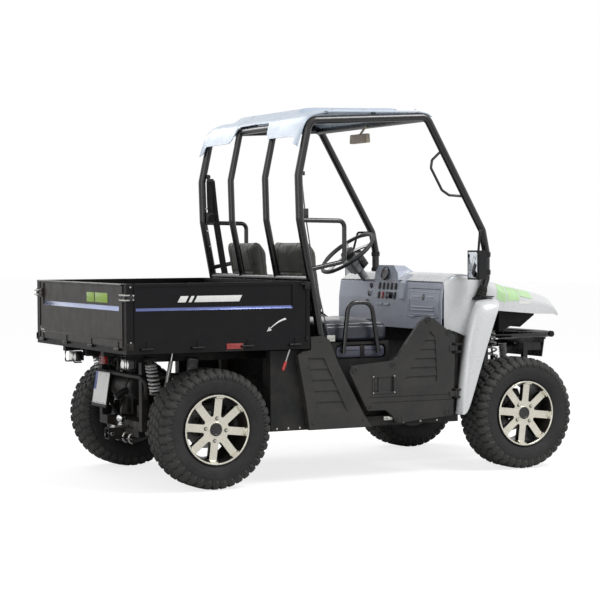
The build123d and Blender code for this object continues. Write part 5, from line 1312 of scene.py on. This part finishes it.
# %% Roof
ROOF_HALF, CROWN_HALF, CROWN_UP, DROOP = 655, 434, 25, 12
roof_line = rounded([(512, 1856), (528, 1905), (556, 1985), (600, 2030), (700, 2052), (1297, 2066),
                     (1346, 2060), (1372, 2040)], 60, 9)
roof_run = np.concatenate([[0], np.cumsum(np.linalg.norm(np.diff(roof_line, axis=0), axis=1))])
NOTCH_LINES = [-200, 200, -232, 232, -590, 590, -600, 600]
roof_y = np.unique(np.concatenate([np.linspace(-ROOF_HALF, ROOF_HALF, 74), NOTCH_LINES]))
aside = np.abs(roof_y)
edge_height = np.interp(aside, [0, 196, 204, 236, 262, 588, 600, ROOF_HALF],
                        [2004, 2000, 1992, 1925, 1907, 1903, 1862, 1857])
rear = roof_line[:, 0] < 620
start = np.interp(edge_height, roof_line[rear][:, 1], roof_run[rear])
run_here = start + (roof_run[-1] - start) * np.linspace(0, 1, 70)[:, None]
roof_x, roof_z = [np.interp(run_here, roof_run, roof_line[:, k]) for k in (0, 1)]
side_droop = DROOP * np.clip((aside - 575) / 80, 0, 1) ** 2
crown_up = (smooth_step((roof_x - 622) / 72) * smooth_step((1326 - roof_x) / 66)
            * smooth_step((CROWN_HALF - aside) / 26))
roof_points = np.stack([roof_x, np.broadcast_to(roof_y, roof_x.shape),
                        roof_z - side_droop + CROWN_UP * crown_up], -1)
PAD_SPOTS = [(x, 0, 2032 + (x - 700) * 0.0235) for x in (700, 1000, 1290)]
pads = copies(button((0, 637, 0), UPWARDS, 14, 12, 1), PAD_SPOTS)
piece("roof_skin", "chassis", [(roof_silver, sheet_form(roof_points, 2, 2)), (rubber, both_sides(pads))],
      "roof_silver", ["roof"], 40)

# %% [markdown]
# ## Lamps, number plate and hitch
# A tail lamp is a housing with two domed lenses in bright rings; between them hangs a single red one. The
# number plate stays blank: white with a blue band at its left edge, in a dark holder. Its face leans, so
# the flat shapes on it are put there as they were on the dash.

# %% Tail lamps
LAMP_X, LAMP_Z, LAMP_YS = -405, 671, (377, 438)
GUARD_GAP = 141           # between the lamps' two guard bars
housing = block(-407, -373, 347, 468, 644, 698, 7)
domes = [turned([(23.5, -4), (23.5, 1), (20, 5), (12, 8), (0.5, 9.5)], (LAMP_X, y, LAMP_Z), BACKWARDS, 32)
         for y in LAMP_YS]
rings = [turned([(23.6, -3), (26.5, -3), (26.5, 2), (25.5, 3), (23.6, 3)], (LAMP_X, y, LAMP_Z), BACKWARDS, 32,
                True) for y in LAMP_YS]
red_lens = block(-344, -322, 64, 140, 644, 698, 6)
red_base = block(-323, -306, 62.5, 141.5, 642.5, 699.5, 3)
lens_ribs = copies(block(-345.4, -343.4, 68, 136, -1.2, 1.2, 0.6), [(0, 0, z) for z in range(652, 695, 6)])
piece("tail_lamp_lenses", "chassis", [
    (lens_clear, both_sides(join(*domes))), (chrome, both_sides(join(*rings))),
    (switch_black, both_sides(housing)), (lens_red, red_lens), (lens_red, lens_ribs),
    (switch_black, red_base)], "lamp_red", ["tail_lamps"])
guard = bar(rounded([(-376, 478, 640), (-424, 478, 640), (-424, 478, 702), (-376, 478, 702)], 10), 4, 10)
twin_piece("lamp_guards", "chassis", [(frame_black, join(guard, (guard[0] - (0, GUARD_GAP, 0), guard[1])))])

# %% Number plate
PLATE_MID = np.array([-305.267, 220, 492.445])
PLATE_UP = np.array([0.148340, 0, 0.988936])
PLATE_OUT = np.array([-0.988936, 0, 0.148340])
PLATE_SCREWS = [(-40, 80, 0), (60, 80, 0), (-40, -76, 0), (60, -76, 0)]


def flat_box(x0, x1, y0, y1, low, high):
    """A thin box drawn on the plate, its corners a little round."""
    return plate(rectangle(x0, x1, y0, y1, 2), low, high, 0.3, "z")


holder_rim = bar(raised_line(rectangle(-116, 116, -101, 101, 6, 4), -0.5), 3.2, 8, True)
thin_border = bar(raised_line(rectangle(-108, 108, -79, 94, 6, 4), 0.1), 0.9, 6, True)
plate_parts = [(plate_blue, flat_box(-113, -74, -6, 98, -0.3, 0.7)),
               (frame_black, flat_box(-114, 114, -100, -84, -0.3, 1.6)), (rubber, holder_rim),
               (switch_black, thin_border), (zinc, copies(button((0, 0, 0), UPWARDS, 4, 2), PLATE_SCREWS))]
piece("number_plate_trim", "chassis", [
    (material, placed(form, PLATE_MID, TO_RIGHT, PLATE_UP, PLATE_OUT)) for material, form in plate_parts])

# %% Hitch fittings
PIN_X, PIN_Z = -338, 260
clip = bar(rounded([(PIN_X, 46, PIN_Z), (PIN_X, 46, 244), (-347, 46, 236), (-352, 46, 252), (PIN_X, 46, 268)],
                   5), 1.8, 8)
pin = join(bar([(PIN_X, -44, PIN_Z), (PIN_X, 52, PIN_Z)], 7.2, 16),
           button((PIN_X, -38, PIN_Z), TO_RIGHT, 11, 6), clip)
ball_nut = [(0.4, -18), (19, -18), (21, -16), (21, -2), (19, 0), (0.4, 0)]
nuts = join(turned(ball_nut, (-315, 0, 296), UPWARDS, 6),
            turned([(12.3, 0), (18, 0), (18, 5), (15, 9), (12.3, 9)], (-270, 0, 304.3), UPWARDS, 32, True))
shackles = [bar(rounded([(-262, y, 268), (-276, y, 262), (-288, y, 240), (-276, y, 218), (-262, y, 214)], 9),
                5.5, 12) for y in (-62, -150, 62)]
piece("hitch_fittings", "chassis", [(zinc, pin), (zinc, nuts), (zinc, join(*shackles))])
hoop_lugs = join(block(-281, -271, 150, 162, 577, 600, 2), block(-281, -271, 276, 288, 577, 600, 2))
piece("hoop_lugs", "chassis", [(frame_black, hoop_lugs)])

# %% [markdown]
# ## Nose
# The pale green marks on the hood lie on its chamfered shoulder. The hood's own function gives the points of
# each mark, so the foil follows the paint under it; it is lifted by a millimetre and closed underneath.

# %% Marks on the hood
def hood_mark(corners, rows=14, columns=7):
    """A four-cornered mark: corners (x, share) blended over a grid, on both faces of thin foil."""
    a, b, c, d = [np.asarray(corner, float) for corner in corners]
    i = np.linspace(0, 1, rows)[:, None, None]
    j = np.linspace(0, 1, columns)[None, :, None]
    spot = (1 - i) * ((1 - j) * a + j * d) + i * ((1 - j) * b + j * c)
    return sheet_form(on_hood(spot[..., 0], spot[..., 1]), 1.0, 0.4)


TOP_SHARE = 1.96          # the marks end just under the shoulder
green = [hood_mark([(-112, 0.55), (-40, 0.5), (-36, TOP_SHARE), (-100, TOP_SHARE)]),
         hood_mark([(-30, 0.62), (60, 0.7), (68, TOP_SHARE), (-26, TOP_SHARE)]),
         hood_mark([(70, 1.02), (168, 1.05), (176, TOP_SHARE), (78, TOP_SHARE)])]
grey_dash = hood_mark([(60, 0.52), (150, 0.66), (152, 0.84), (62, 0.72)])
twin_piece("hood_marks", "chassis", [(pale_green, join(*green)), (mark_white, grey_dash)])

# %% Headlamps and nose
NOSE_X, BOLT_X, GUARD_X = WHEELBASE + 464, WHEELBASE + 472, WHEELBASE + 488
BULB_Z = 913
BULBS = ((192, 17), (236, 16))        # distance from the middle, radius of the cup
cups = [turned([(r - 3, -3), (r + 2, -3), (r + 2, 2), (r, 3.5), (r - 3, 2)], (NOSE_X, y, BULB_Z), FORWARDS,
               32, True) for y, r in BULBS]
bulbs = [turned([(r - 4, -3), (r - 4, 1), (r - 8, 5), (0.5, 6.5)], (NOSE_X, y, BULB_Z), FORWARDS, 28)
         for y, r in BULBS]
twin_piece("headlamp_rings", "chassis", [(chrome, join(*cups)), (mirror_glass, join(*bulbs))])
NOSE_BOLTS = [(0, y, z) for y in (-220, 220) for z in (645, 720)]
nose_bolts = copies(button((BOLT_X, 0, 0), FORWARDS, 8, 5, 1.5, 6), NOSE_BOLTS)
guard_caps = both_sides(button((GUARD_X, 290, 755), TO_LEFT, 19, 24, 4, 24))
piece("nose_bolts", "chassis", [(zinc, nose_bolts), (rubber, guard_caps)])

# %% [markdown]
# Last come the roof's rivets, the box that lies in the recess under each seat with a strap across it, the
# pedals and the ribs of the cab's floor. Each is a few simple forms, copied to where they belong.

# %% Roof, under-seat boxes and pedals
RIVETS = [(x, y, 2054 + (x - 700) * 0.0253) for x in (740, 940, 1140, 1270) for y in (-640, 640)]
piece("roof_rivets", "chassis", [(zinc, copies(button((0, 0, 0), UPWARDS, 6, 3), RIVETS))])
case = plate(rectangle(786, 1094, 676, 740, 24, 6), 567, 589, 7)
case_strap = block(935, 965, 566.5, 591.5, 671, 745, 3)
lid_line = bar(rounded([(796, 589, 716), (1084, 589, 716)], 2), 1.6, 8)
twin_piece("under_seat_boxes", "chassis", [(grey_case, case), (rubber, case_strap), (rubber, lid_line)])
PEDAL_Z = 470
PEDALS = ((300, 1508, 62), (400, 1500, 80))       # y, x and width of each pad


def pedal_arm(y, x):
    """The bent bar from the dash down to a pad."""
    return bar(rounded([(1590, y, 690), (1560, y, 560), (x + 10, y, PEDAL_Z)], 40), 8, 12)


def pedal_pad(y, x, width):
    """A rounded pad that leans back with its arm."""
    pad = plate(rectangle(-width / 2, width / 2, -32, 32, 8, 4), -5, 4, 2, "z")
    return placed(pad, np.array([x, y, PEDAL_Z]), TO_LEFT, (0.42, 0, 0.907), (-0.907, 0, 0.42))


arms = join(*[pedal_arm(y, x) for y, x, _ in PEDALS])
pad_forms = join(*[pedal_pad(*pedal) for pedal in PEDALS])
piece("pedals", "chassis", [(frame_black, arms), (rubber, pad_forms)])
mat = copies(block(1150, 1480, -4, 4, 345.6, 349.2, 1.2), [(0, y, 0) for y in range(-560, 561, 40)])
piece("floor_ribs", "chassis", [(rubber, mat)])

# %% [markdown]
# ## Floor, light and camera
# The vehicle stands on a plain pale floor. A broad soft lamp above and in front gives the tops their light,
# a weaker one fills the near side, and the white surroundings are what paint and metal reflect. Camera rays
# see the surroundings at full white; only the lamps and a dimmer copy of that white light the vehicle.

# %% Floor
FLOOR_WHITE, FLOOR_ROUGHNESS = (0.86, 0.86, 0.86, 1), 0.9
FLOOR_GLOW, GLOW_SHARE = 1.55, 0.5        # the camera sees this share of glow, so that the floor stays pale
floor_corners = [(-30, -30, 0), (30, -30, 0), (30, 60, 0), (-30, 60, 0)]
floor_mesh = bpy.data.meshes.new("floor")
floor_mesh.from_pydata(floor_corners, [], [[0, 1, 2, 3]])
floor = bpy.data.objects.new("floor", floor_mesh)
bpy.context.scene.collection.objects.link(floor)
floor_finish = bpy.data.materials.new("pale_floor")
floor_finish.use_nodes = True
tree = floor_finish.node_tree
matt = tree.nodes["Principled BSDF"]
matt.inputs["Base Color"].default_value = FLOOR_WHITE
matt.inputs["Roughness"].default_value = FLOOR_ROUGHNESS
glow = tree.nodes.new("ShaderNodeEmission")
share = tree.nodes.new("ShaderNodeMixShader")
view = tree.nodes.new("ShaderNodeLightPath")
glow.inputs["Strength"].default_value = FLOOR_GLOW
seen = add_range(tree, view.outputs["Is Camera Ray"], 0, 1, 0, GLOW_SHARE)
tree.links.new(seen, share.inputs[0])
tree.links.new(matt.outputs[0], share.inputs[1])
tree.links.new(glow.outputs[0], share.inputs[2])
tree.links.new(share.outputs[0], tree.nodes["Material Output"].inputs["Surface"])
floor_mesh.materials.append(floor_finish)
print("the floor is", floor_corners[1][0] - floor_corners[0][0], "m wide")

# %% Surroundings and lamps
DIM_WHITE = 0.42                          # strength of the surroundings as a lamp; as a picture they are at 1
world = bpy.data.worlds.new("surroundings")
bpy.context.scene.world = world
world.use_nodes = True
tree = world.node_tree
back = tree.nodes["Background"]
back.inputs["Color"].default_value = (1, 1, 1, 1)
paths = tree.nodes.new("ShaderNodeLightPath")
either = paths.outputs["Is Camera Ray"]
for ray in ("Is Glossy Ray", "Is Transmission Ray"):
    larger = tree.nodes.new("ShaderNodeMath")
    larger.operation = "MAXIMUM"
    tree.links.new(either, larger.inputs[0])
    tree.links.new(paths.outputs[ray], larger.inputs[1])
    either = larger.outputs[0]
tree.links.new(add_range(tree, either, 0, 1, DIM_WHITE, 1.0), back.inputs["Strength"])


def lamp(name, place, aim, size, power):
    """A square soft lamp at a place, turned so that its own -Z looks at the aim."""
    light = bpy.data.lights.new(name, "AREA")
    light.size, light.energy = size, power
    item = bpy.data.objects.new(name, light)
    item.location = place
    item.rotation_euler = (Vector(aim) - Vector(place)).to_track_quat("-Z", "Y").to_euler()
    bpy.context.scene.collection.objects.link(item)


lamp("key_lamp", (2.6, -3.6, 5.6), (0.2, 0, 0.8), 2.6, 230)
lamp("fill_lamp", (-5.0, -4.5, 2.6), (0, 0, 0.8), 3.5, 55)
lamp("back_lamp", (-1.5, 4.5, 4.5), (0, 0, 0.9), 3.0, 85)
bpy.context.scene.view_settings.view_transform = "Standard"
print("three lamps and the white surroundings")

# %% Camera
YAW, PITCH_UP, ROLL = 0.4747, -0.0341, -0.0044      # radians: right of +Y, above level, about the view
SENSOR, FOCAL_LENGTH, SHIFT = 36, 107.0, (0.0006, 0.0079)         # mm, mm, shares of the picture's width
EYE = Vector((-3.9356 - AXLE_TO_ORIGIN / 1000, -9.3304, 1.3133))
ahead = Vector((np.sin(YAW) * np.cos(PITCH_UP), np.cos(YAW) * np.cos(PITCH_UP), np.sin(PITCH_UP)))
right = Vector((np.cos(YAW), -np.sin(YAW), 0))
above = right.cross(ahead)
turned_right = right * np.cos(ROLL) + above * np.sin(ROLL)
turned_above = above * np.cos(ROLL) - right * np.sin(ROLL)
lens = bpy.data.cameras.new("camera")
lens.sensor_width, lens.lens = SENSOR, FOCAL_LENGTH
lens.shift_x, lens.shift_y = SHIFT
camera = bpy.data.objects.new("camera", lens)
turn_matrix = Matrix((turned_right, turned_above, -ahead)).transposed().to_4x4()
camera.matrix_world = Matrix.Translation(EYE) @ turn_matrix
bpy.context.scene.collection.objects.link(camera)
bpy.context.scene.camera = camera
print("the camera is", round((EYE - Vector((0, 0, 0.9))).length, 2), "m away")
